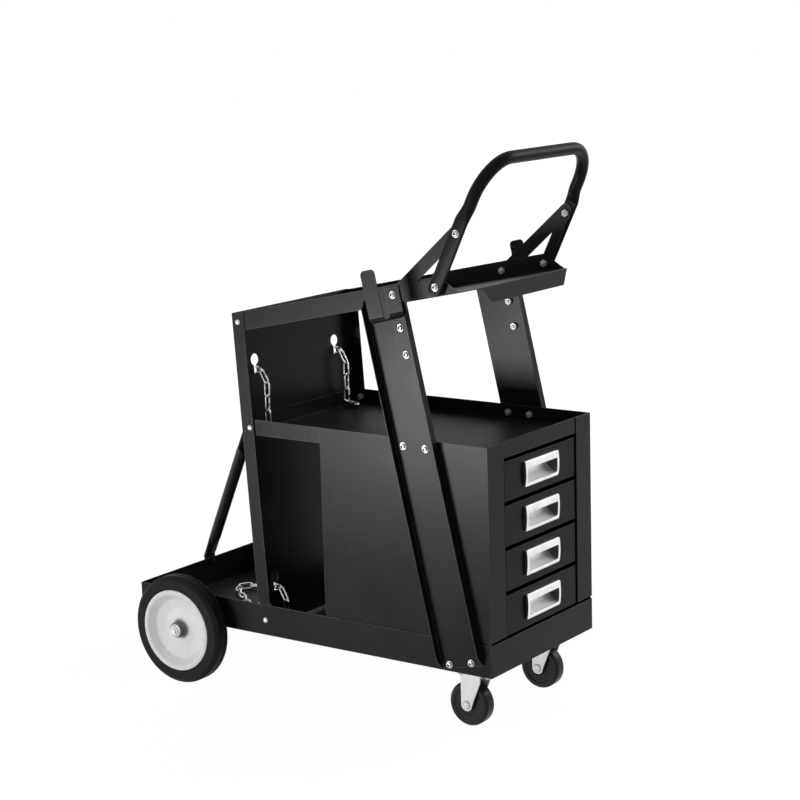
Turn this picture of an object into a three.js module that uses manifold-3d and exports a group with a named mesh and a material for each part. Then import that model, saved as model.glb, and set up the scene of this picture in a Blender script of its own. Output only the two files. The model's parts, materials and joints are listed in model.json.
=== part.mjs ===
// Welding cart: a rimmed base pan with a four drawer cabinet, a shelf over it, a sloping top tray
// on channel uprights, a bottle platform behind, two rear wheels and two swivel casters.
// Millimetres, +Z up, +X towards the drawers, +Y towards the cart's left side.

import * as THREE from 'three';
import { mergeVertices } from 'three/addons/utils/BufferGeometryUtils.js';
import Module from 'manifold-3d';

const wasm = await Module();
wasm.setup();

// Sheet metal and running clearances
const SHEET = 1.2;
const PLATE = 2;
const GAP = 0.3;
const SEAM = 0.8;
const JOGGLE_RISE = 3;
const RIM_LAP = 1;

// Base pan
const BASE_LENGTH = 694;
const BASE_WIDTH = 294;
const BASE_RIM = 50;
const BASE_Z = 95;

// Drawer cabinet and the shelf that roofs it
const CABINET_DEPTH = 307;
const CABINET_HEIGHT = 300;
const SHELF_RIM = 25;
const STILE_RETURN = 16;
const BACK_RETURN = 17;
const BACK_FLANGE = 14;
const DRAWER_COUNT = 4;
const OPENING_WIDTH = 208;
const DRAWER_SHADOW_GAP = 5;
const DRAWER_SET_IN = 2;
const DRAWER_SIDE_PLAY = 2;
const DRAWER_WALL = 46;
const DRAWER_BACK_ROOM = 18;
const FRONT_RETURN = 9;
const RUNNER_LEG = 12;
const RUNNER_WEB = 20;
const RUNNER_SIDE_PLAY = 1.6;
const PULL_WIDTH = 95;
const PULL_HEIGHT = 39;
const PULL_BEZEL = 4;
const PULL_LIP = 4.5;
const PULL_TOP_LIP = 9;
const PULL_DEPTH = 15;
const PULL_SKIN = 1.5;

// Rear panel with its side flanges, which are the rear posts
const REAR_PANEL_X = -94;
const REAR_PANEL_LEAN = 3.7;
const REAR_PANEL_TOP = 612;
const REAR_PANEL_FOOT_GAP = 5;
const POST_WIDTH = 23;
const KEYHOLE_SPACING = 208;
const KEYHOLE_UPPER_Z = 532;
const KEYHOLE_LOWER_Z = 178;
const KEYHOLE_HEAD = 19;
const KEYHOLE_NECK = 6.4;
const KEYHOLE_DROP = 20;

// Sloping top tray
const TRAY_TILT = 11.5;
const TRAY_MID_Z = 606.5;
const TRAY_FRONT_X = 326;
const TRAY_RIM = 29;
const TRAY_RIM_SETBACK = 23;
const TRAY_RIM_TAPER = 30;
const LIP_WIDTH = 236;
const LIP_DROP = 23;
const LIP_TAPER = 18;

// Channel uprights that carry the tray
const UPRIGHT_LEAN = 12.9;
const UPRIGHT_WIDTH = 76;
const UPRIGHT_FLANGE = 13;
const UPRIGHT_LENGTH = 568;
const UPRIGHT_CHAMFER = 14;
const UPRIGHT_FRONT_STOP = 26;
const UPRIGHT_REAR_STOP = 2;
const UPRIGHT_FOOT_X = 334.2;
const UPRIGHT_FOOT_Z = 114;

// Push handle, its brackets and the cable hooks
const TUBE = 19;
const HANDLE_LOW_X = 268;
const HANDLE_LEAN = 25.7;
const HANDLE_BOLT_PITCH = 88;
const HANDLE_REACH = 204;
const HANDLE_BEND = 62;
const HANDLE_TAIL = 13;
const FLAT_WIDTH = 26;
const FLAT_THICK = 5;
const BRACKET_BAR = 24;
const BRACKET_HANDLE_BAR = 16;
const BRACKET_STRUT_BAR = 20;
const BRACKET_STRUT_X = 201;
const BRACKET_STRUT_RISE = 5;
const BRACKET_REAR_X = 190;
const BRACKET_LEG = 107;
const BRACKET_LEG_BAR = 22;
const HOOK_WIDTH = 25.5;
const HOOK_REACH = 52;
const HOOK_PLATE = 47;
const HOOK_ARM = 78;
const HOOK_BEND = 9;
const HOOK_TIP_RADIUS = 7;

// Rear stay
const STAY_TOP_Y = -128;
const STAY_TOP_Z = 445;
const STAY_FOOT_Y = 31;
const STAY_TAB = 20;
const STAY_PRESSED = 46;
const STAY_SWELL = 16;

// Rear wheels and axle
const WHEEL_DIAMETER = 178;
const WHEEL_X = -238;
const TYRE_WIDTH = 31;
const TYRE_BORE = 134;
const TYRE_SHOULDER = 6.2;
const WHEEL_SIDE_GAP = 10;
const AXLE = 10;
const HUB = 30;
const RIM_WALL = 4;
const NUT = 19;
const NUT_HEIGHT = 5;
const NUT_STEPS = 12;
const AXLE_BRACKET_LENGTH = 56;
const AXLE_BRACKET_DROP = 20;
const AXLE_BRACKET_INSET = 8;
const AXLE_BRACKET_FOOT = 18;

// Swivel casters
const CASTER_WHEEL = 69;
const CASTER_WIDTH = 23;
const CASTER_X = 303;
const CASTER_SPACING = 204;
const CASTER_TRAIL = 22;
const CASTER_PLATE = 66;
const CASTER_PLATE_THICK = 2.5;
const CASTER_RACE = 38;
const CASTER_RACE_HEIGHT = 7;
const CASTER_CROWN = 3;
const CASTER_LEG = 2.5;
const CASTER_AXLE = 8;
const CASTER_RIVET = 14;
const CASTER_RIVET_HEAD = 2.5;
const CASTER_RIVET_BEVEL = 1;
const CASTER_EYE = 9.8;
const CASTER_NOSE = 15;
const CASTER_TREAD_INNER = 25.9;
const CASTER_WEB = 24.2;

// Safety chains
const WIRE = 3.2;
const LINK_PITCH = 22;
const LINK_WIDTH = 12.4;
const LINK_BITE = 0.2;
const LINK_STEPS = 3;
const WIRE_SIDES = 4;
const LEAD_ANGLE = 60;
const UPPER_SAG = 45;
const CHAIN_STANDOFF = 24;
const LOOP_APEX_X = -280;
const LOOP_APEX_Y = 27;
const LOOP_ROUNDING = 0.8;

// Facets of round forms
const ROUND_STEPS = 20;
const WHEEL_STEPS = 32;
const ARC_STEPS = 6;
const TUBE_SIDES = 14;

// Places that follow from the sizes above
const SIDE = BASE_WIDTH / 2;
const FRONT = BASE_LENGTH / 2;
const BASE_TOP = BASE_Z + BASE_RIM;
const CABINET_TOP = BASE_TOP + CABINET_HEIGHT;
const CABINET_REAR = FRONT - CABINET_DEPTH;
const FLOOR_TOP = BASE_Z + SHEET;
const INNER_SIDE = SIDE - SHEET - GAP;
const OUTER_SIDE = SIDE + GAP;
const SHELF_Z = CABINET_TOP - SHELF_RIM;
const OPENING_BOTTOM = BASE_TOP + RIM_LAP + GAP;
const DRAWER_PITCH = (SHELF_Z - OPENING_BOTTOM) / DRAWER_COUNT;
const WHEEL_RADIUS = WHEEL_DIAMETER / 2;

const radians = THREE.MathUtils.degToRad;
const slopeOf = (degrees) => Math.tan(radians(degrees));
const panelRearAt = (z) => REAR_PANEL_X - (z - BASE_TOP) * slopeOf(REAR_PANEL_LEAN);
const panelFrontAt = (z) => panelRearAt(z) + SHEET / Math.cos(radians(REAR_PANEL_LEAN));
const trayFloorAt = (x) => TRAY_MID_Z + x * slopeOf(TRAY_TILT);

// Solids and booleans

function toSolid(geometry) {
  const bare = geometry.clone();
  bare.deleteAttribute('normal');
  bare.deleteAttribute('uv');
  const merged = mergeVertices(bare, 1e-4);
  return new wasm.Manifold(new wasm.Mesh({
    numProp: 3,
    vertProperties: Float32Array.from(merged.attributes.position.array),
    triVerts: Uint32Array.from(merged.index.array),
  }));
}

function toGeometry(solid) {
  const mesh = solid.getMesh();
  const geometry = new THREE.BufferGeometry();
  geometry.setAttribute('position', new THREE.BufferAttribute(mesh.vertProperties, 3));
  geometry.setIndex(new THREE.BufferAttribute(mesh.triVerts, 1));
  return geometry;
}

function join(...pieces) {
  const whole = pieces.map(toSolid).reduce((sum, piece) => sum.add(piece));
  return toGeometry(whole);
}

function cut(piece, ...tools) {
  const rest = tools.map(toSolid).reduce((left, tool) => left.subtract(tool), toSolid(piece));
  return toGeometry(rest);
}

// Each vertex is set straight to its limits, so that faces meant to be flush are exactly flush.
function box(x0, x1, y0, y1, z0, z1) {
  const block = new THREE.BoxGeometry(1, 1, 1);
  const corner = block.attributes.position;
  for (let i = 0; i < corner.count; i += 1) {
    corner.setXYZ(
      i, corner.getX(i) < 0 ? x0 : x1, corner.getY(i) < 0 ? y0 : y1, corner.getZ(i) < 0 ? z0 : z1,
    );
  }
  return block;
}

// A shape drawn in the named plane and thickened along the axis that is left, from near to far.
function slab(shape, plane, near, far) {
  const geometry = new THREE.ExtrudeGeometry(shape, {
    depth: 1, bevelEnabled: false, curveSegments: ARC_STEPS,
  });
  const corner = geometry.attributes.position;
  for (let i = 0; i < corner.count; i += 1) {
    const u = corner.getX(i);
    const v = corner.getY(i);
    const ends = plane === 'xz' ? [far, near] : [near, far];
    const w = ends[Math.round(corner.getZ(i))];
    if (plane === 'yz') {
      corner.setXYZ(i, w, u, v);
    } else if (plane === 'xz') {
      corner.setXYZ(i, u, w, v);
    } else {
      corner.setXYZ(i, u, v, w);
    }
  }
  return geometry;
}

function outline(points) {
  return new THREE.Shape(points.map(([u, v]) => new THREE.Vector2(u, v)));
}

function rod(radius, y0, y1, x, z) {
  const pin = new THREE.CylinderGeometry(radius, radius, y1 - y0, ROUND_STEPS);
  return pin.translate(x, (y0 + y1) / 2, z);
}

function mirrorAcross(geometry) {
  const other = geometry.index ? geometry.toNonIndexed() : geometry.clone();
  other.scale(1, -1, 1);
  const place = other.attributes.position;
  for (let i = 0; i < place.count; i += 3) {
    const second = new THREE.Vector3().fromBufferAttribute(place, i + 1);
    const third = new THREE.Vector3().fromBufferAttribute(place, i + 2);
    place.setXYZ(i + 1, third.x, third.y, third.z);
    place.setXYZ(i + 2, second.x, second.y, second.z);
  }
  return other;
}

// A strip with round ends between two points of a plane, as a flat bar is drawn.
function barShape(from, to, width) {
  const angle = Math.atan2(to[1] - from[1], to[0] - from[0]);
  const shape = new THREE.Shape();
  shape.absarc(from[0], from[1], width / 2, angle + Math.PI / 2, angle + 1.5 * Math.PI);
  shape.absarc(to[0], to[1], width / 2, angle - Math.PI / 2, angle + Math.PI / 2);
  return shape;
}

// The same strip with a square end.
function stripShape(from, to, width) {
  const angle = Math.atan2(to[1] - from[1], to[0] - from[0]);
  const half = [width / 2 * Math.sin(angle), width / 2 * Math.cos(angle)];
  const shape = new THREE.Shape();
  shape.absarc(from[0], from[1], width / 2, angle + Math.PI / 2, angle + 1.5 * Math.PI);
  shape.lineTo(to[0] + half[0], to[1] - half[1]);
  shape.lineTo(to[0] - half[0], to[1] + half[1]);
  return shape;
}

// A solid skin over rings of points that all have the same count, closed by flat ends.
function loft(rings) {
  const count = rings[0].length;
  const positions = rings.flat().flatMap((point) => point.toArray());
  const faces = [];
  for (let r = 0; r + 1 < rings.length; r += 1) {
    for (let i = 0; i < count; i += 1) {
      const a = r * count + i;
      const b = r * count + (i + 1) % count;
      faces.push(a, b, b + count, a, b + count, a + count);
    }
  }
  const last = (rings.length - 1) * count;
  for (let i = 1; i + 1 < count; i += 1) {
    faces.push(0, i + 1, i, last, last + i, last + i + 1);
  }
  const geometry = new THREE.BufferGeometry();
  geometry.setAttribute('position', new THREE.Float32BufferAttribute(positions, 3));
  geometry.setIndex(faces);
  return geometry;
}

// A tube through stations that each give a centre, the wide direction and the two widths.
function pressedTube(stations) {
  const rings = stations.map(({ at, along, wide, width, thick }) => {
    const u = wide.clone().addScaledVector(along, -wide.dot(along)).normalize();
    const v = along.clone().cross(u).normalize();
    return Array.from({ length: TUBE_SIDES }, (_, i) => {
      const angle = (i / TUBE_SIDES) * 2 * Math.PI;
      return at.clone()
        .addScaledVector(u, Math.cos(angle) * width / 2)
        .addScaledVector(v, Math.sin(angle) * thick / 2);
    });
  });
  return loft(rings);
}

// Finishes

const finishes = {
  coat: { color: 0x1d1e20, roughness: 0.55, metalness: 0.1 },
  zinc: { color: 0xb9bcc0, roughness: 0.35, metalness: 0.9 },
  bright: { color: 0xdfe1e3, roughness: 0.25, metalness: 0.8 },
  rubber: { color: 0x17181a, roughness: 0.85, metalness: 0 },
  disc: { color: 0xc6c9cc, roughness: 0.45, metalness: 0.6 },
};

const cart = new THREE.Group();

function add(name, geometry, finish, parent = cart) {
  const mesh = new THREE.Mesh(geometry, new THREE.MeshStandardMaterial(finishes[finish]));
  mesh.name = name;
  parent.add(mesh);
  return mesh;
}

function addPair(name, leftGeometry, finish, parent = cart) {
  add(`${name}_left`, leftGeometry, finish, parent);
  add(`${name}_right`, mirrorAcross(leftGeometry), finish, parent);
}

// Base pan: one floor with four upturned rims and open corner seams.

function pan(x0, x1, half, z0, rim) {
  const inner = half - SHEET - SEAM;
  return join(
    box(x0, x1, -half, half, z0, z0 + SHEET),
    box(x0, x1, half - SHEET, half, z0, z0 + rim),
    box(x0, x1, -half, SHEET - half, z0, z0 + rim),
    box(x0, x0 + SHEET, -inner, inner, z0, z0 + rim),
    box(x1 - SHEET, x1, -inner, inner, z0, z0 + rim),
  );
}

add('base_tray', pan(-FRONT, FRONT, SIDE, BASE_Z, BASE_RIM), 'coat');

// A wall in section: its foot stands inside the base rim and a joggle brings it outside.
function joggledWall(foot, outer, footZ, bendZ, topZ) {
  return outline([
    [foot - SHEET, footZ], [foot, footZ], [foot, bendZ], [outer, bendZ + JOGGLE_RISE],
    [outer, topZ], [outer - SHEET, topZ], [outer - SHEET, bendZ + JOGGLE_RISE + SHEET / 2],
    [foot - SHEET, bendZ + SHEET / 2],
  ]);
}

// Cabinet sides: folded sheets with a front stile and a rear return.

function sidePanel() {
  const bend = BASE_TOP + RIM_LAP;
  const foot = bend + JOGGLE_RISE;
  const half = OPENING_WIDTH / 2;
  const wall = joggledWall(INNER_SIDE, SIDE, FLOOR_TOP + GAP, bend, CABINET_TOP);
  return join(
    slab(wall, 'yz', CABINET_REAR, FRONT - SHEET - GAP),
    box(FRONT - PLATE, FRONT, SIDE - SHEET, SIDE, foot, CABINET_TOP),
    box(FRONT - SHEET, FRONT, half, SIDE, foot, CABINET_TOP),
    box(FRONT - STILE_RETURN, FRONT, half, half + SHEET, foot, SHELF_Z - GAP),
    box(CABINET_REAR, CABINET_REAR + SHEET, SIDE - BACK_RETURN, SIDE, foot, SHELF_Z - GAP),
  );
}

addPair('side_panel', sidePanel(), 'coat');

const BACK_X = CABINET_REAR + SHEET + GAP;

function cabinetBack() {
  const half = INNER_SIDE - SHEET - GAP;
  const low = FLOOR_TOP + GAP;
  const high = SHELF_Z - GAP;
  return join(
    box(BACK_X, BACK_X + SHEET, -half, half, low, high),
    box(BACK_X, BACK_X + BACK_FLANGE, -half, half, low, low + SHEET),
    box(BACK_X, BACK_X + BACK_FLANGE, -half, half, high - SHEET, high),
  );
}

add('cabinet_back', cabinetBack(), 'coat');

// Shelf: a shallow pan that roofs the drawers and runs back to the rear panel.

const SHELF_REAR = panelFrontAt(SHELF_Z) + GAP;
const SHELF_FRONT = FRONT - SHEET - GAP;

add('mid_shelf', pan(SHELF_REAR, SHELF_FRONT, INNER_SIDE, SHELF_Z, SHELF_RIM), 'coat');

// Drawers, their runners and their recessed pulls

const DRAWER_FACE = FRONT - DRAWER_SET_IN;
const DRAWER_REAR = BACK_X + DRAWER_BACK_ROOM;
const RUNNER_FACE = OPENING_WIDTH / 2 - GAP;
const BOX_SIDE = RUNNER_FACE - SHEET - RUNNER_SIDE_PLAY;
const FRONT_HALF = OPENING_WIDTH / 2 - DRAWER_SIDE_PLAY;
const PULL_BODY_WIDTH = PULL_WIDTH - 2 * PULL_LIP;
const PULL_BODY_HEIGHT = PULL_HEIGHT - 2 * PULL_LIP;

function drawer(floorZ) {
  const low = floorZ + SHEET + GAP;
  const faceTop = floorZ + DRAWER_PITCH - DRAWER_SHADOW_GAP;
  const back = DRAWER_FACE - SHEET;
  const middle = (floorZ + faceTop) / 2;
  const front = outline([
    [back, floorZ], [DRAWER_FACE, floorZ], [DRAWER_FACE, faceTop], [back - FRONT_RETURN, faceTop],
    [back - FRONT_RETURN, faceTop - SHEET], [back, faceTop - SHEET],
  ]);
  const body = cut(
    box(DRAWER_REAR, back + SHEET / 2, -BOX_SIDE, BOX_SIDE, low, low + DRAWER_WALL),
    box(
      DRAWER_REAR + SHEET, DRAWER_FACE, SHEET - BOX_SIDE, BOX_SIDE - SHEET,
      low + SHEET, low + DRAWER_WALL + SHEET,
    ),
  );
  const shell = join(slab(front, 'xz', -FRONT_HALF, FRONT_HALF), body);
  const halfWidth = PULL_BODY_WIDTH / 2 + GAP;
  const halfHeight = PULL_BODY_HEIGHT / 2 + GAP;
  const window = box(
    back - SHEET, DRAWER_FACE + SHEET, -halfWidth, halfWidth, middle - halfHeight, middle + halfHeight,
  );
  return cut(shell, window);
}

// The runner stands against the front stile and the cabinet back, and the drawer slides on its leg.
function runner(floorZ) {
  const inner = RUNNER_FACE - SHEET;
  const nose = DRAWER_FACE - SHEET - FRONT_RETURN - GAP;
  return join(
    box(BACK_X + SHEET + GAP, nose, inner, RUNNER_FACE, floorZ, floorZ + RUNNER_WEB),
    box(BACK_X + SHEET + GAP, nose, RUNNER_FACE - RUNNER_LEG, RUNNER_FACE, floorZ, floorZ + SHEET),
  );
}

// A cup pull: a proud bezel round a scoop that rises behind its deep upper lip.
function pull(middle) {
  const face = DRAWER_FACE + GAP;
  const halfWidth = PULL_WIDTH / 2;
  const halfBody = PULL_BODY_WIDTH / 2;
  const halfHeight = PULL_HEIGHT / 2;
  const halfCup = PULL_BODY_HEIGHT / 2;
  const halfScoop = halfCup - PULL_SKIN;
  const rear = face - PULL_DEPTH;
  const mouthTop = middle + halfHeight - PULL_TOP_LIP;
  const behindLip = face + PULL_BEZEL - PULL_SKIN;
  const scoop = new THREE.Shape();
  scoop.moveTo(face + PULL_BEZEL + PULL_SKIN, middle - halfScoop);
  scoop.lineTo(face + PULL_BEZEL + PULL_SKIN, mouthTop);
  scoop.lineTo(behindLip, mouthTop);
  scoop.lineTo(behindLip, middle + halfScoop);
  scoop.lineTo(rear + 2 * PULL_SKIN, middle + halfScoop);
  scoop.quadraticCurveTo(rear + PULL_SKIN, middle - halfScoop / 2, face, middle - halfScoop);
  return cut(
    join(
      box(face, face + PULL_BEZEL, -halfWidth, halfWidth, middle - halfHeight, middle + halfHeight),
      box(rear, face + PULL_SKIN, -halfBody, halfBody, middle - halfCup, middle + halfCup),
    ),
    slab(scoop, 'xz', PULL_SKIN - halfBody, halfBody - PULL_SKIN),
  );
}

for (let i = 0; i < DRAWER_COUNT; i += 1) {
  const floorZ = SHELF_Z - GAP - (i + 1) * DRAWER_PITCH + DRAWER_SHADOW_GAP / 2;
  const middle = floorZ + (DRAWER_PITCH - DRAWER_SHADOW_GAP) / 2;
  add(`drawer_${i + 1}`, drawer(floorZ), 'coat');
  add(`drawer_pull_${i + 1}`, pull(middle), 'bright');
  addPair(`drawer_runner_${i + 1}`, runner(floorZ), 'zinc');
}

// Rear panel: one folded sheet, leaning back, with keyhole slots for the chains. Its posts are bolted
// to the base rims, and its foot stands clear of the floor.

const rearPanelTurn = new THREE.Group();
rearPanelTurn.position.set(REAR_PANEL_X, 0, BASE_TOP);
rearPanelTurn.rotation.y = -radians(REAR_PANEL_LEAN);
cart.add(rearPanelTurn);

const upThePanel = (z) => (z - BASE_TOP) / Math.cos(radians(REAR_PANEL_LEAN));

function keyhole(y, z) {
  const half = KEYHOLE_NECK / 2;
  const angle = Math.asin(KEYHOLE_NECK / KEYHOLE_HEAD);
  const hole = new THREE.Path();
  hole.absarc(y, z, KEYHOLE_HEAD / 2, angle - Math.PI / 2, 1.5 * Math.PI - angle, false);
  hole.absarc(y, z - KEYHOLE_DROP, half, -Math.PI, 0, false);
  return hole;
}

function rearPanel() {
  const bend = RIM_LAP;
  const outer = OUTER_SIDE + SHEET;
  const foot = upThePanel(FLOOR_TOP + REAR_PANEL_FOOT_GAP);
  const top = upThePanel(REAR_PANEL_TOP);
  const shoulder = bend + JOGGLE_RISE;
  const sheet = outline([
    [-INNER_SIDE, foot], [INNER_SIDE, foot], [INNER_SIDE, bend], [outer, shoulder], [outer, top],
    [-outer, top], [-outer, shoulder], [-INNER_SIDE, bend],
  ]);
  for (const z of [KEYHOLE_UPPER_Z, KEYHOLE_LOWER_Z]) {
    for (const side of [-1, 1]) {
      sheet.holes.push(keyhole(side * KEYHOLE_SPACING / 2, upThePanel(z)));
    }
  }
  const post = slab(joggledWall(INNER_SIDE, outer, foot, bend, top), 'yz', 0, POST_WIDTH);
  return join(slab(sheet, 'yz', 0, SHEET), post, mirrorAcross(post));
}

add('rear_panel', rearPanel(), 'coat', rearPanelTurn);

// Uprights: channels with their flanges turned out and their flange ends cut off at a slant.

const uprightTurn = new THREE.Group();
uprightTurn.position.set(UPRIGHT_FOOT_X, 0, UPRIGHT_FOOT_Z);
uprightTurn.rotation.y = -radians(UPRIGHT_LEAN);
cart.add(uprightTurn);

function upright() {
  const web = OUTER_SIDE + SHEET;
  const rim = OUTER_SIDE + UPRIGHT_FLANGE;
  const flange = (high) => outline([
    [OUTER_SIDE, 0], [web, 0], [rim, UPRIGHT_CHAMFER], [rim, high - UPRIGHT_CHAMFER],
    [web, high], [OUTER_SIDE, high],
  ]);
  return join(
    box(-UPRIGHT_WIDTH, 0, OUTER_SIDE, web, 0, UPRIGHT_LENGTH),
    slab(flange(UPRIGHT_LENGTH - UPRIGHT_FRONT_STOP), 'yz', -SHEET, 0),
    slab(flange(UPRIGHT_LENGTH - UPRIGHT_REAR_STOP), 'yz', -UPRIGHT_WIDTH, SHEET - UPRIGHT_WIDTH),
  );
}

addPair('upright', upright(), 'coat', uprightTurn);

// Top tray: side rims that taper to the front, a rear stop and a front lip turned down.

const trayTurn = new THREE.Group();
trayTurn.position.set(0, 0, TRAY_MID_Z);
trayTurn.rotation.y = -radians(TRAY_TILT);
cart.add(trayTurn);

function topTray() {
  const tilt = radians(TRAY_TILT);
  const rimLean = TRAY_RIM * Math.sin(tilt);
  const rearTopZ = trayFloorAt(REAR_PANEL_X) + TRAY_RIM;
  const rear = (panelFrontAt(rearTopZ) + 2 * GAP + rimLean) / Math.cos(tilt);
  const front = TRAY_FRONT_X / Math.cos(tilt);
  const rimFront = front - TRAY_RIM_SETBACK;
  const rim = outline([
    [rear, 0], [rimFront, 0], [rimFront, SHEET], [rimFront - TRAY_RIM_TAPER, TRAY_RIM], [rear, TRAY_RIM],
  ]);
  const half = LIP_WIDTH / 2;
  const deck = outline([
    [rear, -SIDE], [rimFront, -SIDE], [front, -half], [front, half], [rimFront, SIDE], [rear, SIDE],
  ]);
  const lip = outline([
    [-half, SHEET], [LIP_TAPER - half, -LIP_DROP], [half - LIP_TAPER, -LIP_DROP], [half, SHEET],
  ]);
  const inner = SIDE - SHEET - SEAM;
  return join(
    slab(deck, 'xy', 0, SHEET),
    slab(rim, 'xz', SIDE - SHEET, SIDE),
    slab(rim, 'xz', -SIDE, SHEET - SIDE),
    box(rear, rear + SHEET, -inner, inner, 0, TRAY_RIM),
    slab(lip, 'yz', front - SHEET, front),
  );
}

add('top_tray', topTray(), 'coat', trayTurn);

// Handle brackets: flat bars round a triangular opening, with a leg down the upright.

const WEB_FACE = OUTER_SIDE + SHEET;
const BRACKET_FACE = WEB_FACE + GAP + PLATE;
const rimMiddle = (x) => [x, trayFloorAt(x) + TRAY_RIM / 2];
const handleLow = rimMiddle(HANDLE_LOW_X);
const handleHigh = [
  handleLow[0] + HANDLE_BOLT_PITCH * Math.sin(radians(HANDLE_LEAN)),
  handleLow[1] + HANDLE_BOLT_PITCH * Math.cos(radians(HANDLE_LEAN)),
];
const strutHigh = [handleHigh[0], handleHigh[1] + BRACKET_STRUT_RISE];
const strutLow = [BRACKET_STRUT_X, rimMiddle(BRACKET_STRUT_X)[1] + BRACKET_STRUT_RISE];
const bracketRear = rimMiddle(BRACKET_REAR_X);
const legLean = radians(UPRIGHT_LEAN);
const bracketLeg = [
  bracketRear[0] + BRACKET_LEG * Math.sin(legLean),
  bracketRear[1] - BRACKET_LEG * Math.cos(legLean),
];

function handleBracket() {
  const near = WEB_FACE + GAP;
  const bars = [
    barShape(handleLow, handleHigh, BRACKET_HANDLE_BAR),
    barShape(strutHigh, strutLow, BRACKET_STRUT_BAR),
    barShape(bracketRear, handleLow, BRACKET_BAR),
    stripShape(bracketRear, bracketLeg, BRACKET_LEG_BAR),
  ];
  return join(...bars.map((bar) => slab(bar, 'xz', near, BRACKET_FACE)));
}

addPair('handle_bracket', handleBracket(), 'coat');

// Push handle: one bent tube whose two lower ends are pressed flat against the brackets.

function handleStations() {
  const wide = new THREE.Vector3(Math.cos(radians(HANDLE_LEAN)), 0, -Math.sin(radians(HANDLE_LEAN)));
  const rise = new THREE.Vector3(Math.sin(radians(HANDLE_LEAN)), 0, Math.cos(radians(HANDLE_LEAN)));
  const across = new THREE.Vector3(0, 1, 0);
  const low = new THREE.Vector3(handleLow[0], 0, handleLow[1]);
  const flatY = BRACKET_FACE + GAP + FLAT_THICK / 2;
  const roundY = flatY + (FLAT_THICK - TUBE) / 2;
  const flat = { width: FLAT_WIDTH, thick: FLAT_THICK };
  const round = { width: TUBE, thick: TUBE };
  const place = (up, y) => low.clone().addScaledVector(rise, up).addScaledVector(across, y);
  const half = [
    { at: place(-HANDLE_TAIL, -flatY), along: rise, wide, ...flat },
    { at: place(HANDLE_BOLT_PITCH + BRACKET_STRUT_RISE + HANDLE_TAIL, -flatY), along: rise, wide, ...flat },
    { at: place(HANDLE_REACH - HANDLE_BEND - TUBE / 2, -roundY), along: rise, wide, ...round },
  ];
  for (let i = 0; i <= ARC_STEPS; i += 1) {
    const angle = (i / ARC_STEPS) * Math.PI / 2;
    const up = HANDLE_REACH - HANDLE_BEND * (1 - Math.sin(angle));
    const y = -roundY + HANDLE_BEND * (1 - Math.cos(angle));
    const along = rise.clone().multiplyScalar(Math.cos(angle)).addScaledVector(across, Math.sin(angle));
    half.push({ at: place(up, y), along, wide, ...round });
  }
  const otherHalf = half.map((station) => ({
    ...station,
    at: station.at.clone().multiply(new THREE.Vector3(1, -1, 1)),
    along: station.along.clone().multiply(new THREE.Vector3(-1, 1, -1)),
  }));
  return [...half, ...otherHalf.reverse()];
}

add('handle_tube', pressedTube(handleStations()), 'coat');

// Cable hooks: bent strips that stand out from the uprights' tops.

function cableHook() {
  const near = BRACKET_FACE + GAP;
  const far = near + HOOK_REACH;
  const centre = (bracketRear[0] - UPRIGHT_FOOT_X) * Math.cos(legLean)
    + (bracketRear[1] - UPRIGHT_FOOT_Z) * Math.sin(legLean);
  const height = (bracketRear[1] - UPRIGHT_FOOT_Z) * Math.cos(legLean)
    - (bracketRear[0] - UPRIGHT_FOOT_X) * Math.sin(legLean);
  const top = height + BRACKET_BAR / 2;
  const low = top - HOOK_PLATE;
  const left = centre - HOOK_WIDTH / 2;
  const right = centre + HOOK_WIDTH / 2;
  const bend = new THREE.Shape();
  bend.moveTo(near, top);
  bend.lineTo(near, low + HOOK_BEND);
  bend.absarc(near + HOOK_BEND, low + HOOK_BEND, HOOK_BEND, Math.PI, 1.5 * Math.PI);
  bend.absarc(far - HOOK_BEND, low + HOOK_BEND, HOOK_BEND, 1.5 * Math.PI, 2 * Math.PI);
  bend.lineTo(far, low + HOOK_ARM - HOOK_WIDTH / 2);
  bend.lineTo(far - PLATE, low + HOOK_ARM - HOOK_WIDTH / 2);
  bend.lineTo(far - PLATE, low + HOOK_BEND);
  bend.absarc(far - HOOK_BEND, low + HOOK_BEND, HOOK_BEND - PLATE, 0, -Math.PI / 2, true);
  bend.absarc(near + HOOK_BEND, low + HOOK_BEND, HOOK_BEND - PLATE, 1.5 * Math.PI, Math.PI, true);
  bend.lineTo(near + PLATE, top);
  const tipTop = low + HOOK_ARM;
  const tipBend = tipTop - HOOK_TIP_RADIUS;
  const tip = new THREE.Shape();
  tip.moveTo(left, tipTop - HOOK_WIDTH);
  tip.lineTo(right, tipTop - HOOK_WIDTH);
  tip.absarc(right - HOOK_TIP_RADIUS, tipBend, HOOK_TIP_RADIUS, 0, Math.PI / 2);
  tip.absarc(left + HOOK_TIP_RADIUS, tipBend, HOOK_TIP_RADIUS, Math.PI / 2, Math.PI);
  return join(slab(bend, 'yz', left, right), slab(tip, 'xz', far - PLATE, far));
}

addPair('cable_hook', cableHook(), 'coat', uprightTurn);

// Rear stay: a tube with both ends pressed flat, from the right rear post down to the rear rim.

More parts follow.
